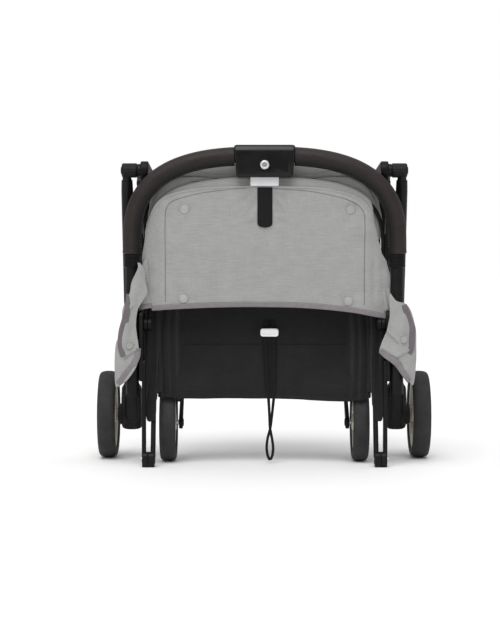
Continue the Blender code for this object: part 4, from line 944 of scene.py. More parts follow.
def axle_housing(side, sign):
    """The casting at a rear leg's lower end: a squared body with a collar, the axle boss and a raised U."""
    def on_leg(x, distance, shift):
        return (x, *along(along(REAR_PIVOT, REAR_LEG_DIR, HOUSING_START + distance), REAR_LEG_ACROSS, shift))

    # How far down, half the width and the depth, and how squared
    rows = [
        (0.0, 0.0098, 0.0104, 2.4), (0.0006, 0.0108, 0.0114, 2.6), (0.0045, 0.0114, 0.0120, 3.0),
        (0.0055, 0.0111, 0.0118, 3.0), (0.0065, 0.0115, 0.0122, 3.0), (0.0125, 0.0154, 0.0152, 2.8),
        (0.020, 0.0160, 0.0168, 2.6), (0.032, HOUSING_HALF_W - 0.0008, HOUSING_HALF_D, 2.7),
    ]
    for down, less in ((0.046, 0.0), (HOUSING_L - 0.004, 0.0), (HOUSING_L - 0.0012, 0.0009),
                       (HOUSING_L, 0.0026)):
        rows.append((down, HOUSING_HALF_W - 0.0006 - less, HOUSING_HALF_D - less, 3.0))
    rings = [[on_leg(sign * (REAR_LEG_X + a * half_w), down, b * half_d) for a, b in squircle(64, power)]
             for down, half_w, half_d, power in rows]
    made = skin(rings)
    wheel_side = REAR_TYRE[0] - REAR_TYRE[1] / 2 - 0.001
    boss = [(REAR_LEG_X, AXLE_BOSS_R), (wheel_side - 0.0012, AXLE_BOSS_R), (wheel_side, AXLE_BOSS_R - 0.0012),
            (wheel_side, AXLE_BOSS_R - 0.004)]
    turned(boss, REAR_AXLE, 64, made, sign=sign)
    half_u = [(-0.0105, 0.022), (-0.0108, 0.040), (-0.0102, 0.055), (-0.0072, 0.0635)]
    path = []
    for x, down in flow(half_u + [(0.0, 0.0665)] + [(-x, down) for x, down in reversed(half_u)], 40):
        sunk = 0.0010 - read([(0.020, 0.0165), (0.032, HOUSING_HALF_D)], down)
        path.append(on_leg(sign * (REAR_LEG_X - 0.0005) + x, down, sunk))
    pipe(path, 0.0013, 12, made)
    piece(f"axle_casting_{side}", made, "casting", "rear_legs", [f"axle_housing_{side}"], smooth=38)
    head = REAR_TYRE[0] + REAR_TYRE[1] / 2 - 0.0045
    profile = [(0.1955, PIN_R), (head, PIN_R), (head, 0.0078), (head + 0.0012, 0.0078),
               (head + 0.0021, 0.0070),
               (head + 0.0026, 0.0052)]
    piece(f"axle_cap_{side}", turned(profile, REAR_AXLE, sign=sign), "steel", "rear_legs",
          [f"rear_axle_{side}"])


def pedal():
    """The brake pedal: a sleeve on the rear cross tube and a ribbed paddle that hangs from it."""
    y, z = REAR_CROSSBAR
    inner = CROSSBAR_R + GAP
    low, high = 0.119, 0.161
    made = ring_turned(sleeve(low, high, inner, inner + 0.0035, 0.0008), (y, z), 64)
    paddle = rounded_outline([(y - 0.003, z - 0.0085), (y + 0.004, z - 0.0085), (y + 0.005, z - 0.038),
                              (y - 0.002, z - 0.038)], 0.002)
    plate(paddle, low + 0.002, high - 0.002, 0.0008, made=made)
    for step in [z - 0.0175 - 0.0040 * k for k in range(5)]:
        rear = y - 0.0028 + (z - step - 0.004) * 0.03
        pipe([(x, rear, step) for x in stations(low + 0.006, high - 0.006, 4)], 0.0007, 8, made)
    piece("pedal_lever", made, "plastic", "brake_pedal", ["brake_pedal"], smooth=35)


# Wheels

def wheel(end, side, sign, size, centre):
    """A tyre with a squared round tread on a rim with five spokes, its hub longer on the inner side."""
    x, width, radius = sign * size[0], size[1], size[2]
    half = width / 2
    inner = radius - TYRE_DEPTH
    crown, power = 0.0075, 2.6
    bead = ((0.74, 0.0), (0.90, 0.0012), (0.985, 0.0040))
    profile = [(x - half * share, inner + up) for share, up in bead]
    for angle in stations(-pi / 2, pi / 2, 18):
        out, tread = arch(pi / 2 - abs(angle), half, radius - crown, radius, power)
        profile.append((x + (out if angle > 0 else -out), tread))
    profile += [(x + half * share, inner + up) for share, up in reversed(bead)]
    body = f"{end}_wheel_{side}"
    piece(f"{body}_rubber", ring_turned(profile, centre, 112), "rubber", body, [f"{end}_tyre_{side}"],
          smooth=50)
    rim_outer = inner - GAP * 0.5
    lip = rim_outer - 0.0042
    web = 0.003
    hub_ends = sorted((-sign * (half - 0.0008), sign * (half - 0.0052)))
    rim = []
    for way, hub in zip((-1, 1), hub_ends):
        face = [
            (hub, PIN_R + 0.0004), (hub, RIM_HUB_R - 0.001), (hub - way * 0.001, RIM_HUB_R),
            (way * (web + 0.001), RIM_HUB_R + 0.001), (way * web, RIM_HUB_R + 0.0025),
            (way * web, lip - 0.003),
            (way * (web + 0.0015), lip - 0.0005), (way * half * 0.72, lip + 0.0012),
            (way * half * 0.76, lip + 0.0022), (way * half * 0.76, rim_outer),
        ]
        rim += [(x + at, r) for at, r in (face if way < 0 else reversed(face))]
    low_r, high_r = RIM_HUB_R + 0.0035, lip - 0.0030
    window = [(low_r, -0.24)] + [(high_r, share)
                                 for share in (-0.36, -0.18, 0.0, 0.18, 0.36)] + [(low_r, 0.24)]
    holes = []
    for i in range(5):
        corners = []
        for r, share in window:
            angle = pi / 2 + (i + share) * 2 * pi / 5
            corners.append((centre[0] + r * cos(angle), centre[1] + r * sin(angle)))
        holes.append(prism(rounded_outline(corners, 0.0022, 5), x - 0.02, x + 0.02))
    piece(f"{body}_disc", ring_turned(rim, centre, 100), "rim", body, [f"{end}_rim_{side}"], cutters=holes,
          smooth=35)


# Front legs and casters

def caster_point(up, ahead=0.0):
    return along(along(CASTER_FOOT, CASTER_UP, up), CASTER_AHEAD, ahead)


LEG_END = caster_point(CASTER_HOUSING_LOW + CASTER_HOUSING_L * 0.75)
FRONT_LEG_DIR, FRONT_LEG_LENGTH = unit(FRONT_PIVOT, LEG_END)


def front_leg_x(share):
    return FRONT_LEG_X + (FRONT_TYRE[0] - FRONT_LEG_X) * smooth_step((share - 0.70) / 0.28)


def front_leg_place(share):
    return along(FRONT_PIVOT, FRONT_LEG_DIR, FRONT_LEG_LENGTH * share)


FRONT_CROSSBAR = front_leg_place(FRONT_TUBE_SHARE)


def front_leg(side, sign):
    """A front leg that bends inward to its caster, its eye at the pivot and the caster's socket."""
    shares = stations(0.0, FRONT_TUBE_SHARE, 8) + stations(0.70, 0.985, 26)
    made = pipe([(sign * front_leg_x(t), *front_leg_place(t)) for t in shares], FRONT_LEG_R, 36)
    eye = sleeve(FRAME_OUT + 0.001, FRONT_LEG_X + FRONT_LEG_R + 0.0005, 0.0044, 0.0115, 0.0008)
    ring_turned(eye, FRONT_PIVOT, 48, made, sign)
    piece(f"front_tube_{side}", made, "metal", "front_legs", [f"front_leg_{side}"])
    # How far up, and how far inside the socket's radius
    rows = [(0.0, CASTER_HOUSING_R - 0.0105), (0.0, 0.0008), (0.0008, 0.0), (0.006, 0.0), (0.0064, 0.0005),
            (0.0072, 0.0005), (0.0076, 0.0), (CASTER_HOUSING_L - 0.0035, 0.0),
            (CASTER_HOUSING_L - 0.001, 0.0014),
            (CASTER_HOUSING_L, 0.0045)]
    rings = [circle(Vector((sign * FRONT_TYRE[0], *caster_point(CASTER_HOUSING_LOW + up))), ACROSS,
                    Vector((0, *CASTER_AHEAD)), CASTER_HOUSING_R - by, 56) for up, by in rows]
    piece(f"caster_socket_{side}", skin(rings), "plastic", "front_legs", smooth=35)


def fork(side, sign):
    """The caster's one-sided fork: an arm, the bridge over the tyre, the stem and the axle."""
    body = f"front_fork_{side}"
    outer = FRONT_TYRE[0] - FRONT_TYRE[1] / 2 - 0.0035
    inner = outer - 0.006
    half = 0.011
    top = caster_point(CASTER_BRIDGE + CASTER_BRIDGE_T / 2, -0.004)
    arm = hull_outline([(*FRONT_AXLE, 0.010), (*top, CASTER_BRIDGE_T / 2 + 0.0006)])
    made = plate(arm, sign * inner, sign * outer, 0.0014)
    low, high = CASTER_BRIDGE, CASTER_BRIDGE + CASTER_BRIDGE_T
    corners = ((low, -half), (low, half), (high, half), (high, -half))
    bridge = rounded_outline([caster_point(up, ahead) for up, ahead in corners], 0.0018)
    plate(bridge, sign * (inner + 0.0006), sign * (FRONT_TYRE[0] + half), 0.0012, made=made)
    stem = [(sign * FRONT_TYRE[0], *caster_point(up))
            for up in stations(low + 0.002, CASTER_HOUSING_LOW + 0.012, 4)]
    pipe(stem, STEM_R, 32, made)
    dome(sign * inner, -sign, 0.0062, FRONT_AXLE, made)
    piece(f"fork_{side}", made, "plastic", body, [body], smooth=35)
    end = ARM_IN - 0.0018
    axle = [(inner + 0.001, PIN_R), (end - 0.0025, PIN_R), (end - 0.0025, 0.0068), (end - 0.0008, 0.0068),
            (end, 0.0052)]
    piece(f"fork_axle_{side}", turned(axle, FRONT_AXLE, 40, sign=sign), "steel", body)


# Fold bars

def foot_outline():
    heel = [(FOLD_JOINT[0] + y, FOLD_JOINT[1] + z, r) for y, z, r in FOOT]
    return hull_outline([(*FOLD_JOINT, BAR_HALF)] + heel, floor=0.0)


def fold_bars(side, sign):
    """The lower arm, the pin at its foot, and the handle's link with the cheek that carries the canopy."""
    def slab(outline, low, high, edge, made=None):
        return plate(outline, sign * low, sign * high, edge, made=made)

    made = slab(hull_outline([(*ARM_PIVOT, BAR_HALF), (*FOLD_JOINT, BAR_HALF)]), ARM_IN, ARM_OUT, 0.0016)
    eye = [(ARM_IN + 0.0004, ARM_EYE_R - 0.001), (ARM_IN + 0.0014, ARM_EYE_R),
           (FRAME_IN - GAP - 0.001, ARM_EYE_R), (FRAME_IN - GAP, ARM_EYE_R - 0.001)]
    turned(eye, ARM_PIVOT, 56, made, sign=sign)
    slab(foot_outline(), ARM_IN + 0.001, LOBE_SPLIT - GAP / 2, 0.0008, made)
    piece(f"arm_bar_{side}", made, "metal", "arms", [f"lower_arm_{side}"], smooth=35)
    pin = [(ARM_IN - 0.0008, PIN_R - 0.0005), (ARM_IN - 0.0004, PIN_R), (LINK_OUT + 0.0008, PIN_R),
           (LINK_OUT + 0.0012, PIN_R - 0.0006)]
    piece(f"joint_pin_{side}", turned(pin, FOLD_JOINT, 40, sign=sign), "steel", "arms", [f"fold_pin_{side}"])
    link = hull_outline([(*FOLD_JOINT, BAR_HALF), (HANDLE_Y, 0.155, BAR_HALF)])
    made = slab(link, LINK_IN, LINK_OUT, 0.0014)
    slab(foot_outline(), LOBE_SPLIT + GAP / 2, LINK_OUT - 0.0006, 0.0008, made)
    cheek = hull_outline([(HANDLE_Y, 0.138, 0.009), (HANDLE_Y, CANOPY_PIVOT[1] + 0.012, 0.009),
                          (*CANOPY_PIVOT, 0.0095)])
    slab(cheek, PLATE_IN, HANDLE_HALF - HANDLE_R - GAP, 0.0012, made)
    eyes_in = PLATE_IN - 2 * (BOW_EYE_T + 2 * GAP)
    stud = [(PLATE_IN + 0.002, PIN_R), (eyes_in + 0.0004, PIN_R), (eyes_in, PIN_R - 0.0005)]
    turned(stud, CANOPY_PIVOT, 32, made, sign=sign)
    piece(f"link_bar_{side}", made, "metal", "handle", [f"handle_link_{side}"], smooth=35)


# Canopy

BOW_R = 0.003
BOW_EYE_T = 0.006
BOW_STRAIGHT = 0.110
# Half the width, the rise and the lean of each bow
REAR_BOW = (PLATE_IN - GAP - BOW_R, 0.2174, 0.0)
FRONT_BOW = (REAR_BOW[0] - 0.0063, 0.237, 0.115)
PANEL_REAR_Y = -0.1078
# Places on the rear panel as (x, z): its top edge, its lower edge, its two seams and its snaps
PANEL_TOP = (
    (-0.1805, 0.3543), (-0.1765, 0.3710), (-0.1700, 0.3851), (-0.1635, 0.3958), (-0.1549, 0.4042),
    (-0.1400, 0.4115), (-0.1200, 0.4166), (-0.0900, 0.4207), (-0.0450, 0.4232), (0.0, 0.4237),
    (0.0450, 0.4230), (0.0831, 0.4206), (0.1100, 0.4163), (0.1300, 0.4105), (0.1445, 0.4035),
    (0.1550, 0.3935), (0.1612, 0.3815), (0.1655, 0.3690), (0.1693, 0.3543),
)
PANEL_BASE = (
    (-0.1700, 0.2359), (-0.1300, 0.2386), (-0.0650, 0.2412), (0.0, 0.2416), (0.0650, 0.2398),
    (0.1300, 0.2335), (0.1700, 0.2262), (0.1860, 0.2232),
)
PANEL_TOP_LINE = flow(PANEL_TOP, 96)
PANEL_BASE_LINE = flow(PANEL_BASE, 96)
SEAMS = (
    ((-0.0146, 0.4215), (-0.0737, 0.4158), (-0.1122, 0.4090), (-0.1392, 0.4004), (-0.1470, 0.3920),
     (-0.1497, 0.3780), (-0.1497, 0.3100), (-0.1497, 0.2490)),
    ((0.0119, 0.4196), (0.0638, 0.4158), (0.1022, 0.4090), (0.1253, 0.4025), (0.1407, 0.3945),
     (0.1497, 0.3830), (0.1510, 0.3650), (0.1504, 0.3100), (0.1504, 0.2440)),
)
SNAPS = ((-0.1211, 0.3900), (0.1291, 0.3893), (-0.1223, 0.2555), (0.1261, 0.2517))
# How far the panel's sides swell outward at shares of their height
LEFT_SWELL = ((0.0, 0.0), (0.35, -0.0085), (0.62, -0.0085), (1.0, 0.0))
RIGHT_SWELL = ((0.0, 0.0), (0.27, 0.0045), (0.345, 0.0118), (0.477, 0.0125), (0.64, 0.0097), (0.777, 0.0033),
               (1.0, 0.0))
# The puckers beside the strap: x, z, lean and size
PUCKERS = ((-0.0132, 0.3870, 0.9, 1.0), (0.0141, 0.3890, -0.9, 1.0), (-0.0240, 0.4020, 0.75, 0.8),
           (0.0250, 0.4010, -0.85, 0.7), (-0.0200, 0.3740, 0.35, 0.6), (0.0205, 0.3765, -0.3, 0.5))
STRAP_X = 0.0004
STRAP_HALF = 0.0113
STRAP_LOW_Z = 0.3608


def bow_point(angle, half, rise, tilt):
    x, z = arch(angle, half, BOW_STRAIGHT, rise, 3.0)
    return (x, CANOPY_PIVOT[0] + tilt * z, CANOPY_PIVOT[1] + z)


def bow(name, size, body):
    half = size[0]
    line = [bow_point(angle, *size) for angle in stations(pi, 0.0, 90)]
    made = pipe([(-half, *CANOPY_PIVOT)] + line + [(half, *CANOPY_PIVOT)], BOW_R, 20)
    for _, sign in SIDES:
        eye = sleeve(half - BOW_EYE_T / 2, half + BOW_EYE_T / 2, 0.0043, 0.010, 0.0006)
        ring_turned(eye, CANOPY_PIVOT, 40, made, sign)
    piece(name, made, "plastic", body, [body])


def on_line(line, share):
    at = max(0.0, min(1.0, share)) * (len(line) - 1)
    k = min(int(at), len(line) - 2)
    return line[k].lerp(line[k + 1], at - k)


def panel_relief(x, z):
    """How far the cloth stands proud of its plain bulge, towards the back: folds, puckers and seams."""
    out = 0.0009 * noise.noise(Vector((x * 14, 3.1, z * 20)))
    out += 0.0004 * noise.noise(Vector((x * 45, 7.7, z * 40)))
    for sx, sz in SNAPS:
        away = hypot(x - sx, z - sz)
        out -= 0.0008 * bell(away, 0.011)
        out += 0.0005 * bell(away - 0.019, 0.010) * sin(5 * atan2(z - sz, x - sx) + 9 * sx)
    clear = smooth_step((abs(x) - 0.0108) / 0.005)
    for px, pz, lean, size in PUCKERS:
        u = (x - px) * cos(lean) + (z - pz) * sin(lean)
        w = -(x - px) * sin(lean) + (z - pz) * cos(lean)
        out += size * clear * 0.0030 * bell(w, 0.0034) * bell(u, 0.014)
        out -= size * clear * 0.0026 * bell(w - 0.006, 0.0036) * bell(u, 0.012)
    # The sides turn away past their seams, with a soft fold on each
    side = smooth_step((abs(x) - 0.150) / 0.030)
    out -= 0.0045 * side
    for depth, fold_x, wide, fold_z, tall in ((-0.0012, 0.1650, 0.0035, 0.285, 0.035),
                                              (0.0010, 0.1725, 0.0040, 0.285, 0.035),
                                              (-0.0010, -0.1640, 0.0040, 0.330, 0.030)):
        out += depth * bell(x - fold_x, wide) * bell(z - fold_z, tall)
    out += 0.0007 * sin((z - 0.02 * x) * 2 * pi / 0.034) * side
    # Slack above the lower edge
    return out + 0.0006 * sin(x * 2 * pi / 0.060 + 1.2) * bell(z - 0.262, 0.016)


def panel_place(u, v):
    across = 2 * u - 1
    spot = on_line(PANEL_BASE_LINE, u).lerp(on_line(PANEL_TOP_LINE, u), v)
    spot.x += read(LEFT_SWELL, v) * max(0.0, -across) ** 4 + read(RIGHT_SWELL, v) * max(0.0, across) ** 6
    bulge = 0.0040 * (1 - across ** 4) * sin(pi * (0.15 + 0.7 * v))
    return (spot.x, PANEL_REAR_Y - bulge - panel_relief(spot.x, spot.y), spot.y)


def on_cloth(obj, x, z, proud=0.0, default=PANEL_REAR_Y):
    """The place on a cloth's rear face behind which (x, z) lies."""
    found, place, _, _ = obj.ray_cast(Vector((x, -0.4, z)), BACK_TO_FRONT)
    return Vector((x, (place.y if found else default) - proud, z))


def sheet_piece(name, place, columns, rows, look, body, replaces=(), thickness=0.0012, side=-1.0, smooth=60):
    """Cloth through place(u, v). side says on which side of it the thickness lies."""
    return piece(name, grid(place, columns, rows), look, body, replaces, [cloth(thickness, side)], smooth)


def panel():
    """The grey rear panel, with its binding, its seams as strips of darker grey that paint the shade of their
    grooves, stitches, top edge and snaps.
    """
    cover = sheet_piece("canopy_rear_panel", panel_place, 150, 80, "grey", "rear_bow", ["canopy_panel"])
    hem_line = [on_cloth(cover, max(-0.1690, min(0.1845, spot.x)), spot.y + 0.0035)
                for spot in PANEL_BASE_LINE]
    hem = piece("canopy_panel_binding", ribbon(hem_line, 0.0082, 0.0030, sides=20), "binding", "rear_bow",
                smooth=60)
    threads = stitches([p + Vector((0, -0.0014, 0.0028)) for p in hem_line], 0.0021, 0.0004)
    seams = bmesh.new()
    # Each seam gets a thin strip of darker grey cloth, painted shade of its groove, with stitches beside it
    for seam, shift in zip(SEAMS, (0.0021, -0.0021)):
        path = [on_cloth(cover, p.x, p.y, 0.00015) for p in flow(seam, 90)]
        ribbon(path, 0.0011, 0.0005, sides=8, made=seams, power=2.0)
        stitches([p + Vector((shift, -0.00005, 0.0)) for p in path], 0.0021, 0.00032, made=threads)
    tick = [on_cloth(cover, x, z, 0.0002)
            for x, z in ((-0.0086, 0.2480), (-0.0086, 0.2440), (-0.0084, 0.2400))]
    ribbon(tick, 0.0009, 0.0006, sides=8, made=seams, power=2.0)
    sewn = piece("canopy_panel_seam_shade", seams, "seam", "rear_bow", smooth=60)
    threads = piece("canopy_panel_stitching", threads, "grey_thread", "rear_bow", smooth=60)
    top_line = [on_cloth(cover, p.x, p.y - 0.0012, -0.0002) for p in flow(PANEL_TOP[2:-2], 110)]
    edge = piece("canopy_panel_top_edge", ribbon(top_line, 0.0034, 0.0022), "grey", "rear_bow", smooth=60)
    made = bmesh.new()
    for x, z in SNAPS:
        snap(made, on_cloth(cover, x, z), 0.0082)
    piece("canopy_snaps", made, "snap", "rear_bow", smooth=35)
    return cover


def snap(made, spot, radius):
    """A press stud: a raised rim round a dished, domed middle."""
    profile = ((-0.0006, radius), (0.0006, radius), (0.0015, radius - 0.0005), (0.0016, radius - 0.0011),
               (0.0006, radius - 0.0017), (0.0003, radius - 0.0028), (0.0009, radius - 0.0050),
               (0.0011, radius * 0.06))
    turned([(spot.y - proud, r) for proud, r in profile], (spot.x, spot.z), 40, made, "y")


def strap(cover):
    """The black closing strap: hook tape with a rounded end and a sewn edge."""
    widths, path = [], []
    for z in stations(0.4212, STRAP_LOW_Z, 60):
        end = max(0.0, min(1.0, (z - STRAP_LOW_Z) / 0.0075))
        widths.append(2 * STRAP_HALF * max(0.12, (1 - (1 - end) ** 2.4) ** (1 / 2.2)))
        path.append(on_cloth(cover, STRAP_X, z, 0.0013))
    piece("closing_strap", ribbon(path, widths, 0.0017, sides=20), "webbing", "rear_bow", ["canopy_strap"],
          smooth=50)
    made = bmesh.new()
    for _, sign in SIDES:
        edge = [Vector((STRAP_X + sign * (w / 2 - 0.0016), p.y - 0.0009, p.z)) for p, w in zip(path, widths)]
        stitches(edge[2:-4], 0.0018, 0.00035, 0.0026, made)
    piece("closing_strap_stitching", made, "black_cloth", "rear_bow", smooth=50)


# The folded cloth's arch: half its width, its shoulder, its top and how squared it is
ARCH = (0.1790, 0.325, 0.460, 3.6)
# The pleats from rear to front, in millimetres. Each row is a depth and how far it lies inside the
# arch at places across from the middle: the handle's housing presses the cloth down there
PLEAT_PLACES = (0.0, 0.030, 0.080, 0.115, 0.140, 0.165)
PLEATS = (
    (94.8, 48.0, 47.0, 42.0, 34.0, 28.0, 23.0), (94.2, 35.0, 34.5, 29.0, 20.0, 13.0, 10.0),
    (93.0, 31.5, 31.0, 25.0, 15.5, 8.5, 6.0), (91.5, 32.5, 32.0, 26.2, 16.8, 9.8, 7.0),
    (90.0, 39.0, 38.0, 30.0, 19.0, 13.0, 9.0), (89.0, 34.0, 33.0, 23.0, 12.0, 6.0, 4.5),
    (87.8, 29.0, 27.8, 17.8, 7.0, 1.2, 1.2), (86.2, 30.0, 29.0, 19.0, 8.2, 2.2, 2.0),
    (84.8, 36.0, 35.0, 24.0, 13.0, 7.0, 6.0), (83.6, 30.0, 28.0, 16.0, 7.0, 3.0, 2.8),
    (82.0, 12.0, 11.0, 6.0, 2.0, 0.4, 0.4), (80.0, 2.0, 1.8, 1.0, 0.0, 0.0, 0.0),
    (78.0, 0.0, 0.0, 0.0, 0.0, 0.0, 0.0), (76.0, 4.0, 4.0, 3.6, 3.0, 2.6, 2.2),
    (74.5, 13.0, 13.0, 12.5, 12.0, 11.0, 10.0),
)
FOLD_LINES = (((-0.1346, 0.4401), (-0.1106, 0.4386), (-0.0835, 0.4365), (-0.0505, 0.4328), (-0.0240, 0.4290)),
              ((-0.1120, 0.4314), (-0.0800, 0.4300), (-0.0500, 0.4283), (-0.0262, 0.4268)))


def arch_out(x, z, half):
    """The way out from the arch at a place on it."""
    return Vector((x / half * 0.75, (z - 0.30) / 0.158)).normalized()


def pleated_cloth():
    """The canopy cloth, folded between its two bows into pleats that follow the arch, with thin dark cords
    along two fold lines that paint the shade of their creases.
    """
    low = radians(2)
    fine = flow([[-value / 1000 for value in row] for row in PLEATS], 72)

    def place(u, v):
        angle = pi - low - (pi - 2 * low) * u
        x, z = arch(angle, *ARCH)
        row = fine[round(v * 72)]
        drop = read(list(zip(PLEAT_PLACES, row[1:])), abs(x))
        out = arch_out(x, z, ARCH[0])
        drop += 0.0011 * noise.noise(Vector((x * 30, row[0] * 300, z * 30))) * (0.4 + 0.6 * abs(cos(angle)))
        crease = 0.0007 * sin(x * 2 * pi / 0.031 + 5 * v) * bell(abs(x) - 0.12, 0.05)
        return (x + out.x * drop, row[0], z + out.y * (drop + crease))

    cover = sheet_piece("canopy_folded_cloth", place, 150, 72, "grey", None, ["canopy_cloth"], 0.0008, 1.0)
    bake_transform(cover)
    made = bmesh.new()
    # Thin dark cords along the fold lines, on both sides: painted shade of the creases
    for line in FOLD_LINES:
        for side in (1, -1):
            spots = flow([(side * x, z) for x, z in line], 40)
            pipe([on_cloth(cover, x, z, 0.0002) for x, z in spots], 0.00045, 8, made)
    sewn = piece("canopy_fold_painted_shade", made, "seam", None, smooth=60)
    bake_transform(sewn)


def bow_sleeve():
    """The strip of canopy cloth that goes from the rear panel's top edge over the rear bow."""
    low = radians(17)
    climb = 0.35
    pinch = 0.0012

    def place(u, v):
        x, y, z = bow_point(pi - low - (pi - 2 * low) * u, *REAR_BOW)
        out = arch_out(x, z, REAR_BOW[0])
        edge = on_line(PANEL_TOP_LINE, 0.03 + 0.94 * u)
        taper = smooth_step(min(u, 1 - u) / 0.14)
        around = 0.0041 + 0.0006 * noise.noise(Vector((x * 40, v * 2, 5.0)))
        start = Vector((edge.x, PANEL_REAR_Y + 0.0012, edge.y - 0.0020))
        if v < climb:
            t = v / climb
            spot = start.lerp(Vector((x - out.x * pinch, y - around, z - out.y * pinch)), t)
            spot.y -= 0.0009 * sin(pi * t)
            return start.lerp(spot, taper)
        turn = pi * 0.9 * (v - climb) / (1 - climb)
        up = sin(turn) * around - pinch * (1 - sin(turn))
        return start.lerp(Vector((x + out.x * up, y - cos(turn) * around, z + out.y * up)), taper)

    cover = sheet_piece("canopy_bow_sleeve", place, 150, 28, "grey", "rear_bow", (), 0.0007, 1.0)


# Side flaps: rows of (height, inner edge, outer edge) in metres across from the middle
LEFT_FLAP = (
    (0.3080, -0.1870, -0.1905), (0.3000, -0.1811, -0.1900), (0.2790, -0.1788, -0.1995),
    (0.2625, -0.1766, -0.2025), (0.2385, -0.1900, -0.2133), (0.2145, -0.1932, -0.2145),
    (0.1980, -0.1918, -0.2190), (0.1875, -0.1899, -0.2235), (0.1725, -0.1881, -0.2253),
    (0.1545, -0.1917, -0.2259), (0.1425, -0.1982, -0.2256), (0.1305, -0.2081, -0.2253),
    (0.1215, -0.2195, -0.2240),
)
RIGHT_FLAP = (
    (0.2620, 0.1870, 0.1885), (0.2505, 0.1872, 0.1980), (0.2467, 0.1874, 0.2111), (0.2385, 0.1878, 0.2184),
    (0.2265, 0.1879, 0.2232), (0.2190, 0.1861, 0.2250), (0.2058, 0.1833, 0.2277), (0.1875, 0.1758, 0.2282),
    (0.1745, 0.1730, 0.2284), (0.1653, 0.1796, 0.2284), (0.1590, 0.1907, 0.2282), (0.1560, 0.2000, 0.2279),
    (0.1411, 0.2075, 0.2268), (0.1282, 0.2184, 0.2250), (0.1236, 0.2221, 0.2235),
)
# Fold lines of the flaps: two ends from left to right as seen from behind, and how far the cloth
# lies back below them
LEFT_FOLDS = (((-0.2120, 0.1640), (-0.1880, 0.1800), 0.0026), ((-0.2050, 0.2330), (-0.1985, 0.2420), 0.0016))
RIGHT_FOLDS = (((0.1790, 0.2075), (0.2010, 0.1870), 0.0026), ((0.1765, 0.1790), (0.1990, 0.1655), 0.0020),
               ((0.1990, 0.1655), (0.2205, 0.1770), 0.0020))
# The wide mauve bands sewn to the flaps: (x, z, width)
LEFT_BANDS = (
    ((-0.2045, 0.2610, 0.0050), (-0.2052, 0.2475, 0.0080), (-0.2075, 0.2295, 0.0092),
     (-0.2120, 0.2100, 0.0095),
     (-0.2152, 0.1950, 0.0090), (-0.2156, 0.1800, 0.0086), (-0.2125, 0.1668, 0.0060)),
    ((-0.1895, 0.1790, 0.0060), (-0.1915, 0.1665, 0.0080), (-0.1984, 0.1535, 0.0082),
     (-0.2095, 0.1382, 0.0082),
     (-0.2205, 0.1258, 0.0066)),
)
RIGHT_BANDS = (
    ((0.2090, 0.2450, 0.0060), (0.2142, 0.2295, 0.0096), (0.2190, 0.2130, 0.0104), (0.2206, 0.1950, 0.0104),
     (0.2200, 0.1800, 0.0096), (0.2165, 0.1715, 0.0060)),
    ((0.1742, 0.1762, 0.0060), (0.1815, 0.1692, 0.0080), (0.1915, 0.1626, 0.0082), (0.2000, 0.1560, 0.0078),
     (0.2085, 0.1432, 0.0078), (0.2172, 0.1300, 0.0062)),
)
# Cloth tucked between each flap and the rear panel: (x, z) of its lower and of its upper edge
LEFT_TUCK = (((-0.1925, 0.2290), (-0.1900, 0.2345), (-0.1830, 0.2378), (-0.1760, 0.2392), (-0.1690, 0.2398)),
             ((-0.1925, 0.2640), (-0.1880, 0.2780), (-0.1850, 0.2960), (-0.1830, 0.3080), (-0.1780, 0.3160)))
RIGHT_TUCK = (((0.1800, 0.2290), (0.1825, 0.2295), (0.1850, 0.2310), (0.1880, 0.2330), (0.1905, 0.2350)),
              ((0.1780, 0.2700), (0.1810, 0.2720), (0.1840, 0.2720), (0.1870, 0.2700), (0.1890, 0.2640)))


def crease(x, z, start, end, depth):
    """How far cloth lies back under a fold line: all of it just below, less further down."""
    (ux, uz), length = unit(start, end)
    reach = (x - start[0]) * ux + (z - start[1]) * uz
    below = (x - start[0]) * uz - (z - start[1]) * ux
    ends = smooth_step((reach + 0.003) / 0.004) * smooth_step((length - reach + 0.003) / 0.004)
    lip = -0.0009 * bell(below + 0.0022, 0.0022)
    return ends * (depth * smooth_step(below / 0.0014) * exp(-max(0.0, below) / 0.011) + lip)


def bands(cover, band):
    """A wide sewn band that lies on the cloth under it: rows of (x, z, width)."""
    line = flow([(x, 0.0, z) for x, z, _ in band], 50)
    widths = [1.3 * w.x for w in flow([(w, 0.0, 0.0) for _, _, w in band], 50)]
    path = [on_cloth(cover, p.x, p.z, 0.0001, -0.121) for p in line]
    eased = [Vector((b.x, (a.y + 2 * b.y + c.y) / 4, b.z)) for a, b, c in zip(path, path[1:], path[2:])]
    return ribbon([path[0]] + eased + [path[-1]], widths, 0.0018)


def flap(side, sign, rows, folds, band_rows, stud_place):
    """A side flap, which lies over the handle tube and falls back towards the canopy inside it."""
    fine = flow(rows, 110)

    def place(u, v):
        z, inner, outer = fine[round(v * 110)]
        x = inner + (outer - inner) * u
        over = bell(max(0.0, abs(abs(x) - HANDLE_HALF + 0.002) - 0.010), 0.012)
        y = -0.1153 - 0.0068 * over
        y -= 0.0026 * (0.5 + 0.5 * sin(2 * pi * (abs(x) * 38 + z * (8 if sign < 0 else -9) + 0.35 * sign)))
        y -= 0.0018 * noise.noise(Vector((x * 75, 1.7, z * 38)))
        return (x, y + sum(crease(x, z, *fold) for fold in folds), z)

    cover = sheet_piece(f"side_flap_{side}", place, 40, 110, "grey", "handle", [f"canopy_flap_{side}"],
                        0.0014)
    sewn = [piece(f"side_flap_{name}_{side}", bands(cover, band), name, "handle", smooth=60)
            for name, band in zip(("band", "binding"), band_rows)]
    made = bmesh.new()
    snap(made, on_cloth(cover, *stud_place, 0.0006, -0.120), 0.0062)
    stud = piece(f"side_flap_snap_{side}", made, "snap", "handle", smooth=35)


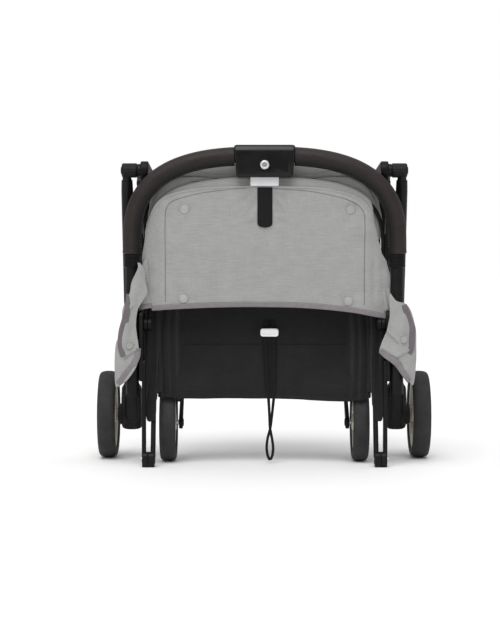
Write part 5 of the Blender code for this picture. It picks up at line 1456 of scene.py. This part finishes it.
def tuck(side, sign, edges):
    """The canopy's side cloth that shows between the rear panel and the flap, with its mauve edge."""
    low, high = [flow(edge, 40) for edge in edges]

    def place(u, v):
        spot = low[round(u * 40)].lerp(high[round(u * 40)], v)
        wave = 0.0016 * sin(2 * pi * (u * 1.3 + 0.7 * v))
        wave += 0.0010 * noise.noise(Vector((spot.x * 90, 3.3, spot.y * 50)))
        return (spot.x, PANEL_REAR_Y + 0.0028 + wave - 0.0030 * (1 - u if sign < 0 else u), spot.y)

    cover = sheet_piece(f"canopy_tuck_{side}", place, 40, 40, "grey", "rear_bow", side=1.0)
    path = [on_cloth(cover, p.x, p.y + 0.0034, 0.0002, PANEL_REAR_Y + 0.003) for p in low[1:-1]]
    hem = piece(f"canopy_tuck_binding_{side}", ribbon(path, 0.0072, 0.0016), "binding", "rear_bow", smooth=60)


# Seat and back

SEAT_DIR, SEAT_LENGTH = unit(SEAT_PIVOT, SEAT_BACK_JOINT)
SEAT_UP = (SEAT_DIR[1], -SEAT_DIR[0])
BACK_DIR = (cos(radians(90.5)), sin(radians(90.5)))
BACK_FRONT = (BACK_DIR[1], -BACK_DIR[0])
SEAT_HALF = 0.128
BOARD_T = 0.006
BACK_BOARD_T = 0.005
SLEEVE_R = 0.0122
SLEEVE_BORE_R = 0.0083
PAD_T = 0.0135
PAD_HALF = 0.121
PAD_SEAT = 0.0004
PIPING_R = 0.0014
COVER_REAR_Y = SEAT_BACK_JOINT[0] - 0.010
COVER_TOP_Z = 0.432
WING_HALF = 0.1625
WING_TOP_Z = 0.330
WEBBING_T = 0.0016
SLIDER_X = 0.0077
SLIDER_SLOT_HALF = 0.0112
# The two strands of webbing under the slider: x, how far in front of their plane, and height
LEFT_STRAND = (
    (0.0030, 0.0, 0.219), (0.0012, 0.0, 0.190), (0.0030, 0.0, 0.150), (0.0058, 0.0, 0.110),
    (0.0078, 0.0006, 0.075), (0.0088, 0.0012, 0.054), (0.0118, 0.0, 0.038), (0.0135, -0.0006, 0.024),
    (0.0122, -0.0006, 0.012), (0.0092, 0.0, 0.0058),
)
RIGHT_STRAND = (
    (0.0128, 0.0, 0.219), (0.0142, 0.0, 0.190), (0.0150, 0.0, 0.150), (0.0150, 0.0, 0.110),
    (0.0118, -0.0006, 0.075), (0.0090, -0.0012, 0.054), (0.0050, 0.0, 0.038), (0.0036, 0.0006, 0.024),
    (0.0052, 0.0006, 0.012), (0.0086, 0.0, 0.0050),
)


def seat_point(s, n):
    return along(along(SEAT_PIVOT, SEAT_DIR, s), SEAT_UP, n)


def back_point(w, n):
    return along(along(SEAT_BACK_JOINT, BACK_DIR, w), BACK_FRONT, n)


def raised(outline, point, steps):
    """A solid off a board, from an outline of (x, along) drawn in by each step's amount at its height."""
    return skin([[(x, *point(s, n)) for x, s in inset(outline, by)] for n, by in steps])


def board(point, start, end, half_t):
    """A moulded board with rounded corners seen from above and rounded edges."""
    steps = ((-half_t, 0.0016), (-half_t + 0.0005, 0.0006), (-half_t + 0.0014, 0.0), (half_t - 0.0014, 0.0),
             (half_t - 0.0005, 0.0006), (half_t, 0.0016))
    corners = [(-SEAT_HALF, start), (SEAT_HALF, start), (SEAT_HALF, end), (-SEAT_HALF, end)]
    return raised(rounded_outline(corners, 0.012), point, steps)


def boards():
    """The seat board with its sleeve, hinge pin and ribs, and the back board."""
    made = board(seat_point, SLEEVE_R + 0.004, SEAT_LENGTH - 0.001, BOARD_T / 2)
    half = 0.088
    ring_turned(sleeve(-half, half, SLEEVE_BORE_R, SLEEVE_R, 0.001), SEAT_PIVOT, 56, made)
    neck = [seat_point(s, n)
            for s, n in ((0.0105, -0.0024), (0.0185, -0.0024), (0.0185, 0.0024), (0.0105, 0.0024))]
    plate(neck, -half + 0.001, half - 0.001, 0.0006, made=made)
    turned([(-0.1222, 0.0034), (-0.1216, PIN_R), (0.1216, PIN_R), (0.1222, 0.0034)], SEAT_BACK_JOINT, 32,
           made)
    for x in (-0.085, -0.0425, 0.0, 0.0425, 0.085):
        pipe([(x, *seat_point(s, -0.0032)) for s in stations(0.030, SEAT_LENGTH - 0.025, 8)], 0.0016, 10,
             made)
    piece("seat_base", made, "plastic", "seat", ["seat_board"], smooth=35)
    made = board(back_point, 0.0095, 0.295, BACK_BOARD_T / 2)
    piece("back_base", made, "plastic", "backrest", ["backrest_board"], smooth=35)


def pad_shape(point, start, end, base, thickness, shrink):
    """A crowned pad on a board: flat underneath, with its sides drawn in between its corners."""
    start, end, half = start + shrink, end - shrink, PAD_HALF - shrink

    def place(u, v, top):
        x = half * u * (1 - 0.03 * (1 - v * v) * abs(u))
        s = (start + end) / 2 + (end - start) / 2 * v * (1 - 0.03 * (1 - u * u) * abs(v))
        crown = (1 - u ** 6) ** 0.5 * (1 - v ** 6) ** 0.5
        return (x, *point(s, base + (0.0012 + (thickness - 0.0012) * crown if top else 0.0)))

    return two_sided(place, 40, 44)


def puffed(name, made, cap, up):
    """Runs the pad's cloth simulation under inner pressure and gives back the plumped shape as a bmesh."""
    obj = mesh_object(name, made)
    modify(obj, "REMESH", mode="VOXEL", voxel_size=0.0042)
    settle(obj)
    before = [v.co.copy() for v in obj.data.vertices]
    settings = modify(obj, "CLOTH").settings
    settings.quality = 5
    settings.mass = 0.15
    settings.tension_stiffness = 18
    settings.compression_stiffness = 18
    settings.bending_stiffness = 0.6
    settings.use_pressure = True
    settings.uniform_pressure_force = 4.0
    settings.effector_weights.gravity = 0.0
    for frame_number in range(1, 16):
        bpy.context.scene.frame_set(frame_number)
    settle(obj)
    bpy.context.scene.frame_set(1)
    flat = min(v.dot(up) for v in before)
    for vertex, old in zip(obj.data.vertices, before):
        move = vertex.co - old
        if move.length > cap:
            move *= cap / move.length
        vertex.co = old if old.dot(up) < flat + 0.0012 else old + move
    result = bmesh.new()
    result.from_mesh(obj.data)
    bpy.data.objects.remove(obj)
    return result


def piping(point, start, end, base):
    """A round cord along a pad's edge."""
    half = PAD_HALF - 0.001
    low, high = start + 0.001, end - 0.001
    corners = [Vector(p)
               for p in rounded_outline([(-half, low), (half, low), (half, high), (-half, high)], 0.010)]
    spots = []
    for a, b in zip(corners, corners[1:] + corners[:1]):
        count = max(1, int((b - a).length / 0.008))
        spots += [a.lerp(b, i / count) for i in range(count)]
    rings = []
    for before, here, after in zip(spots[-1:] + spots, spots, spots[1:] + spots[:1]):
        tangent = (after - before).normalized()
        ring = []
        for out, up in circle_points((0.0, 0.0), PIPING_R, 10):
            spot = here + out * Vector((tangent.y, -tangent.x))
            ring.append((spot.x, *point(spot.y, base + 0.0030 + up)))
        rings.append(ring)
    return skin(rings, loop=True)


def pad(name, point, up, start, end, base, channels, body, node_name):
    """A sewn pad: plumped by simulation, then grooved between its channels, with piping round it."""
    up = Vector((0.0, *up))
    origin = Vector((0.0, *point(0.0, 0.0)))
    run = Vector((0.0, *point(1.0, 0.0))) - origin
    made = puffed(name, pad_shape(point, start, end, base, PAD_T - 0.0016, 0.003), 0.006, up)
    middles = [start + (end - start) * k / channels for k in range(1, channels)]
    for vertex in made.verts:
        place = vertex.co - origin
        s, n = place.dot(run), place.dot(up)
        groove = max(bell(s - middle, 0.0042) for middle in middles)
        side = 1 - (abs(place.x) / PAD_HALF) ** 8
        if n > base + 0.003:
            vertex.co -= up * (0.42 * (n - base) * groove * max(0.0, side))
    cushion = piece(name, made, "black_pad", body, [node_name],
                    [("SUBSURF", {"levels": 1, "render_levels": 1})], 70)
    piece(f"{name}_piping", piping(point, start, end, base), "black_cloth", body, smooth=70)


def wing_share(x):
    """0 on the middle of the back's fabric, 1 on its gathered sides."""
    return smooth_step((abs(x) - 0.125) / 0.016)


def cover_y(x, z):
    """The rear face of the back's fabric: nearly flat in the middle, hanging in gathers at both sides."""
    wing = wing_share(x)
    corner = smooth_step((abs(x) - 0.05) / 0.05) * smooth_step((0.155 - z) / 0.045)
    folds = 0.0027 * sin(abs(x) * 2 * pi / 0.0125 + 0.9 * sin(z * 26 + 2 * x)) * wing
    slack = 0.0009 * sin(x * 2 * pi / 0.041 + 0.8 * sin(z * 22 + x * 9))
    folds += slack * (1 - wing) * smooth_step((0.25 - z) / 0.12)
    relief = 0.0010 * noise.noise(Vector((x * 22, 4.2, z * 9)))
    relief += 0.0004 * noise.noise(Vector((x * 60, 2.2, z * 40)))
    sag = 0.0012 * bell(z - 0.118, 0.010)
    held = 1 - bell(x - SLIDER_X, 0.022)
    return COVER_REAR_Y - 0.0155 * max(wing, corner) + folds - (relief + sag) * held + 0.0008 * (1 - held)


def cover_bottom(x):
    """The hem hangs a little lower towards the right, and lifts at the left corner."""
    return read(((-0.1630, 0.1030), (-0.1500, 0.1035), (-0.1260, 0.1010), (0.0, 0.0998), (0.1270, 0.0965),
                 (0.1500, 0.0985), (0.1630, 0.1030)), x)


def back_cover():
    """The back's black fabric with its hem, its stitches and the seam across it."""
    def place(u, v):
        across = 2 * u - 1
        x = max(-WING_HALF, min(WING_HALF, WING_HALF * across * (1.35 - 0.35 * across ** 2)))
        top = COVER_TOP_Z + (WING_TOP_Z - COVER_TOP_Z) * wing_share(x)
        low = cover_bottom(x)
        z = low + (top - low) * v
        return (x, cover_y(x, z), z)

    cover = sheet_piece("back_cover_cloth", place, 190, 90, "black_cloth", "backrest", ["backrest_cover"],
                        0.0016,
                        smooth=65)
    line = [on_cloth(cover, x, cover_bottom(x) + 0.0042, 0.0002, COVER_REAR_Y)
            for x in stations(-0.1605, 0.1605, 120)]
    hem = piece("back_cover_hem", ribbon(line, 0.0090, 0.0018), "black_cloth", "backrest", smooth=65)
    threads = stitches([p + Vector((0, -0.0009, 0.0030)) for p in line], 0.0022, 0.0004, 0.0032)
    sewn = piece("back_cover_stitching", threads, "webbing", "backrest", smooth=65)
    across = [on_cloth(cover, x, 0.183, 0.0001, COVER_REAR_Y) for x in stations(-0.124, 0.124, 90)]
    piece("back_cover_seam", ribbon(across, 0.0014, 0.0007, sides=8, power=2.0), "webbing", "backrest",
          smooth=65)


def side_gather(side, sign):
    """Black side fabric gathered round each lower arm, between the back's cover and the handle's links."""
    low_edge = flow([(0.1570, 0.1120), (0.1630, 0.1110), (0.1655, 0.0720), (0.1775, 0.0690), (0.1805, 0.1100),
                     (0.1862, 0.1350), (0.1900, 0.1650)], 40)
    lean = (FOLD_JOINT[0] - ARM_PIVOT[0]) / (ARM_PIVOT[1] - FOLD_JOINT[1])

    def place(u, v):
        x, z = low_edge[round(u * 40)].lerp(Vector((0.1575 + (0.1950 - 0.1575) * u, 0.2620)), v)
        y = min(-0.0835, ARM_PIVOT[0] + (ARM_PIVOT[1] - z) * lean - 0.0105)
        y -= 0.0012 * noise.noise(Vector((x * 70, 1.1 + sign, z * 24)))
        fold = sin(2 * pi * (u * 3.1 + 0.35 * v + 0.2 * sin(5 * v + sign)))
        return (sign * x, y + 0.0019 * fold - 0.0012 * u, z)

    cover = sheet_piece(f"side_gather_{side}", place, 40, 60, "black_cloth", "arms", smooth=65)


def slider():
    low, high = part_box("recline_slider")
    made = plate(rounded_box(low.x, high.x, low.z, high.z, 0.0046), high.y - 0.0009, low.y, 0.0013, "y")
    inner = rounded_box(low.x + 0.0034, high.x - 0.0034, low.z + 0.0028, high.z - 0.0028, 0.0016)
    left, right = SLIDER_X - SLIDER_SLOT_HALF, SLIDER_X + SLIDER_SLOT_HALF
    slot = [(left, high.z + 0.01), (left, low.z - 0.01), (right, low.z - 0.01), (right, high.z + 0.01)]
    cutters = [plate(inner, low.y - 0.003, low.y + 0.0009, 0.0004, "y"),
               prism(slot, high.y - WEBBING_T - 2 * GAP, high.y + 0.01, "y")]
    piece("slider_shell", made, "white", "recline_slider", ["recline_slider"], smooth=35, cutters=cutters)
    made = bmesh.new()
    for k in range(4):
        x = (low.x + high.x) / 2 + (k - 1.5) * 0.0042
        pipe([(x, low.y + 0.0006, z) for z in stations(low.z + 0.0036, high.z - 0.0036, 3)], 0.0005, 8, made)
    piece("slider_ribs", made, "white", "recline_slider", smooth=50)


def recline_webbing():
    """Two strands of webbing that come together below the slider, cross once and end in a pull loop."""
    rear = COVER_REAR_Y - GAP - WEBBING_T / 2
    made = bmesh.new()
    for strand, lean, top_half in ((LEFT_STRAND, 0.315, 0.0042), (RIGHT_STRAND, -0.315, 0.0034)):
        shares = stations(0.0, 1.0, 90)
        turns = [lean * smooth_step((t - 0.50) / 0.3) for t in shares]
        widths = [2 * (top_half + (0.0021 - top_half) * smooth_step((t - 0.20) / 0.45)) for t in shares]
        line = flow([(x, rear + y, z) for x, y, z in strand], 90)
        ribbon(line, widths, WEBBING_T, [Vector((sin(turn), cos(turn), 0)) for turn in turns], 14, made)
    piece("recline_webbing", made, "webbing", "backrest", ["recline_strap"], smooth=50)


def leg_rest():
    """The padded leg rest, which hangs on the seat's cross tube by two loops."""
    y, z = SEAT_PIVOT
    top = z - SLEEVE_R - 0.0013
    low = z - 0.147

    def place(u, v, front):
        x = 0.1195 * u * (1 - 0.02 * (1 - v * v) * abs(u))
        height = (top + low) / 2 + (top - low) / 2 * v * (1 - 0.02 * (1 - u * u) * abs(v))
        if not front:
            return (x, y - 0.0029 * (1 - u ** 12) ** 0.5, height)
        crown = (1 - u ** 6) ** 0.5 * (1 - v ** 8) ** 0.5
        groove = 1 - 0.30 * max(0.0, cos(pi * 3 * (v + 1) / 2)) ** 24 if abs(v) < 0.95 else 1.0
        return (x, y + 0.0015 + (0.0125 + 0.0011 * (1 - v)) * crown * groove, height)

    calf = piece("leg_rest_pad", two_sided(place, 60, 48), "black_pad", "leg_rest", ["leg_rest"], smooth=70)
    loops = bmesh.new()
    start, end = 0.103, 0.124
    rear, front = y - 0.0026, y + 0.0026
    neck = [(rear, z - 0.0095), (rear, top - 0.006), (front, top - 0.006), (front, z - 0.0095)]
    for _, sign in SIDES:
        ring_turned(sleeve(start, end, SLEEVE_BORE_R, SLEEVE_R, 0.0008), SEAT_PIVOT, 48, loops, sign)
        plate(neck, sign * (start + 0.001), sign * (end - 0.006), 0.0006, made=loops)
    piece("leg_rest_loops", loops, "black_cloth", "leg_rest", smooth=45)


def harness():
    """Shoulder straps with a yoke, ending in the buckle on the seat pad."""
    front = BACK_BOARD_T / 2 + PAD_SEAT + PAD_T + GAP + WEBBING_T / 2 + 0.0012
    made = bmesh.new()
    for _, sign in SIDES:
        path = [(sign * x, *back_point(w, front)) for x, w in
                ((0.0450, 0.262), (0.0440, 0.220), (0.0415, 0.170), (0.0385, 0.120), (0.0370, 0.078))]
        ribbon(flow(path, 40), 0.021, WEBBING_T, made=made)
    yoke = [(x, *back_point(0.246 + 0.003 * cos(x * 34), front + 0.0014))
            for x in stations(-0.052, 0.052, 30)]
    ribbon(yoke, 0.019, WEBBING_T, made=made)
    piece("harness_webbing", made, "webbing", "backrest", ["harness_straps"], smooth=50)
    base = BOARD_T / 2 + PAD_SEAT + PAD_T + GAP + 0.0012
    middle = SEAT_LENGTH * 0.42
    half, length, thick = 0.023, 0.052, 0.0108
    low, high = middle - length / 2, middle + length / 2
    outline = rounded_outline([(-half, low), (half, low), (half * 0.8, high), (-half * 0.8, high)], 0.007)
    shell = raised(outline, seat_point, (
        (base, 0.0012), (base + 0.0008, 0.0), (base + thick - 0.0030, 0.0), (base + thick - 0.0012, 0.0007),
        (base + thick - 0.0003, 0.0020), (base + thick, 0.0036),
    ))
    up = Vector((0.0, *SEAT_UP))
    centre = Vector((0.0, *seat_point(middle, 0.0)))

    def disc(levels):
        return skin([circle(centre + up * n, ACROSS, up.cross(ACROSS), r, 48) for n, r in levels])

    cut = disc([(base + 0.0012, 0.0094), (base + thick - 0.0008, 0.0094), (base + thick + 0.0001, 0.0106),
                (base + thick + 0.01, 0.0107)])
    piece("buckle_shell", shell, "plastic", "seat", ["harness_buckle"], smooth=35, cutters=[cut])
    top = base + thick + 0.0012
    push = disc([(base + 0.0072, 0.0088), (top - 0.0012, 0.0088), (top - 0.0003, 0.0080), (top, 0.0064),
                 (top - 0.0004, 0.0040), (top - 0.0006, 0.0010)])
    piece("buckle_push", push, "silver", "buckle_button", ["buckle_button"], smooth=50)


def basket():
    """The folded shopping basket: a sagging net bag between the two cross tubes, open above."""
    rear = REAR_CROSSBAR[0] + CROSSBAR_R + GAP
    front = FRONT_CROSSBAR[0] - CROSSBAR_R - GAP
    half = 0.1148
    bottom = 0.1095

    def top(t):
        return REAR_CROSSBAR[1] + (FRONT_CROSSBAR[1] - REAR_CROSSBAR[1]) * t

    # One skin that goes down the rear wall, along the floor and up the front wall, closed by its two ends
    profile = []
    for t in stations(0.0, 1.0, 36):
        sag = 1 - abs(2 * t - 1) ** 4
        profile.append((rear + 0.0008 + (front - rear - 0.0016) * t, top(t) + (bottom - top(t)) * sag))

    def place(u, v):
        y, z = profile[round(v * 36)]
        x = half * (2 * u - 1)
        slack = 0.0016 * sin(x * 2 * pi / 0.058 + 3 * v) - 0.0022 * (1 - (x / half) ** 2)
        return (x, y, z + slack * sin(pi * v))

    for name, first, leg, bar, edge, edge_out, tall in (
            ("rear", 0, "rear_legs", "rear_tube", rear, 0.0009, 0.090),
            ("front", 18, "front_legs", "front_tube_across", front, -0.0009, 0.120)):
        made = grid(lambda u, v: place(u, (first + 18 * v) / 36), 70, 18)
        part = profile[first:first + 19]
        for _, sign in SIDES:
            rows = []
            for rise in stations(0.0, 1.0, 8):
                x = sign * (half - 0.0016 * sin(pi * rise))
                levels = [top((y - rear) / (front - rear)) - 0.004 for y, _ in part]
                rows.append([made.verts.new((x, y, z + (level - z) * rise))
                             for (y, z), level in zip(part, levels)])
            for a, b in zip(rows, rows[1:]):
                for i in range(len(a) - 1):
                    made.faces.new((a[i], a[i + 1], b[i + 1], b[i]))
        bmesh.ops.remove_doubles(made, verts=made.verts, dist=0.0004)
        bag = piece(f"basket_bag_{name}", made, "black_cloth", None, ["basket"] if name == "rear" else [],
                    [cloth(0.0014, 1.0)], 60)
        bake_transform(bag)
        y, z = part[0 if name == "rear" else -1]
        rim = pipe([(x, y + edge_out, z - 0.0012) for x in stations(-half, half, 30)], 0.0018, 14)
        for _, sign in SIDES:
            shares = stations(first / 36, (first + 18) / 36, 8)
            pipe([(sign * (half - 0.0006), rear + 0.002 + (front - rear - 0.004) * t, top(t) - 0.004)
                  for t in shares],
                 0.0016, 14, rim)
        hem = piece(f"basket_rim_{name}", rim, "webbing", None, smooth=60)
        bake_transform(hem)


# Stage

def stage():
    """The floor."""
    floor = bpy.data.meshes.new("floor")
    floor.from_pydata([(-30, -12, 0), (30, -12, 0), (30, 60, 0), (-30, 60, 0)], [], [(0, 1, 2, 3)])
    made, tree, surface, place = shader("floor", 0.6, Specular_IOR_Level=0.2)
    paint(tree, surface, speckle(tree, place, 3.0), (0.3, (0.93, 0.93, 0.93)), (0.7, (0.95, 0.95, 0.95)))
    floor.materials.append(made)
    placed("floor", floor)


def camera():
    data = bpy.data.cameras.new("camera")
    data.sensor_fit = "VERTICAL"
    data.sensor_height = SENSOR_MM
    data.sensor_width = SENSOR_MM
    data.lens = FOCAL_PX / IMAGE_HEIGHT_PX * SENSOR_MM
    data.clip_end = 200.0
    obj = placed("camera", data)
    obj.location = CAMERA_PLACE
    obj.rotation_euler = (pi / 2 - atan(HORIZON_ABOVE_CENTRE_PX / FOCAL_PX), 0.0, 0.0)
    bpy.context.scene.camera = obj


def sun(name, direction, strength, spread):
    data = bpy.data.lights.new(name, "SUN")
    data.energy = strength
    data.angle = radians(spread)
    placed(name, data).rotation_euler = Vector(direction).to_track_quat("-Z", "Y").to_euler()


def lights():
    """A white world that is dimmer towards the horizon, except for the camera, and two soft suns."""
    world = bpy.data.worlds.new("studio")
    world.use_nodes = True
    tree = world.node_tree
    back = tree.nodes["Background"]
    back.inputs["Color"].default_value = (1.0, 1.0, 1.0, 1.0)
    rays = node(tree, "ShaderNodeLightPath").outputs["Is Camera Ray"]
    way = node(tree, "ShaderNodeSeparateXYZ",
               {"Vector": node(tree, "ShaderNodeTexCoord").outputs["Generated"]})
    dome_light = mapped(tree, way.outputs["Z"], 0.0, 0.9, HORIZON_LIGHT, DOME_LIGHT)
    level = node(tree, "ShaderNodeMix", {"Factor": rays, "A": dome_light, "B": 1.0}).outputs["Result"]
    tree.links.new(level, back.inputs["Strength"])
    bpy.context.scene.world = world
    sun("key", (0.10, 0.57, -0.82), KEY_LIGHT, 42)
    sun("fill", (0.45, 0.75, -0.50), FILL_LIGHT, 90)
    bpy.context.scene.view_settings.view_transform = "Standard"


camera()
lights()
stage()
handle_bar()
for side, sign in SIDES:
    grip(side, sign)
    collar(side, sign)
housing()
button()
release_tab()
cross_tube("seat_tube", SEAT_PIVOT, FRAME_IN - GAP, CROSSBAR_R, "root", "seat_crossbar")
cross_tube("rear_tube", REAR_CROSSBAR, REAR_LEG_X - REAR_LEG_R - GAP, CROSSBAR_R, "rear_legs",
           "rear_crossbar")
cross_tube("front_tube_across", FRONT_CROSSBAR, front_leg_x(FRONT_TUBE_SHARE) - FRONT_LEG_R - GAP,
           CROSSBAR_R - 0.001,
           "front_legs", "front_crossbar")
pedal()
for side, sign in SIDES:
    side_frame(side, sign)
    rear_leg(side, sign)
    axle_housing(side, sign)
    front_leg(side, sign)
    fork(side, sign)
    fold_bars(side, sign)
    wheel("rear", side, sign, REAR_TYRE, REAR_AXLE)
    wheel("front", side, sign, FRONT_TYRE, FRONT_AXLE)
bow("canopy_bow_rear", REAR_BOW, "rear_bow")
bow("canopy_bow_front", FRONT_BOW, "front_bow")
pleated_cloth()
bow_sleeve()
REAR_PANEL = panel()
strap(REAR_PANEL)
flap("l", -1, LEFT_FLAP, LEFT_FOLDS, LEFT_BANDS, (-0.2030, 0.1846))
flap("r", 1, RIGHT_FLAP, RIGHT_FOLDS, RIGHT_BANDS, (0.2078, 0.1935))
tuck("l", -1, LEFT_TUCK)
tuck("r", 1, RIGHT_TUCK)
boards()
pad("seat_cushion", seat_point, SEAT_UP, 0.020, SEAT_LENGTH - 0.052, BOARD_T / 2 + PAD_SEAT, 3, "seat",
    "seat_pad")
pad("back_cushion", back_point, BACK_FRONT, 0.060, 0.285, BACK_BOARD_T / 2 + PAD_SEAT, 4, "backrest",
    "backrest_pad")
back_cover()
for side, sign in SIDES:
    side_gather(side, sign)
slider()
recline_webbing()
leg_rest()
harness()
basket()
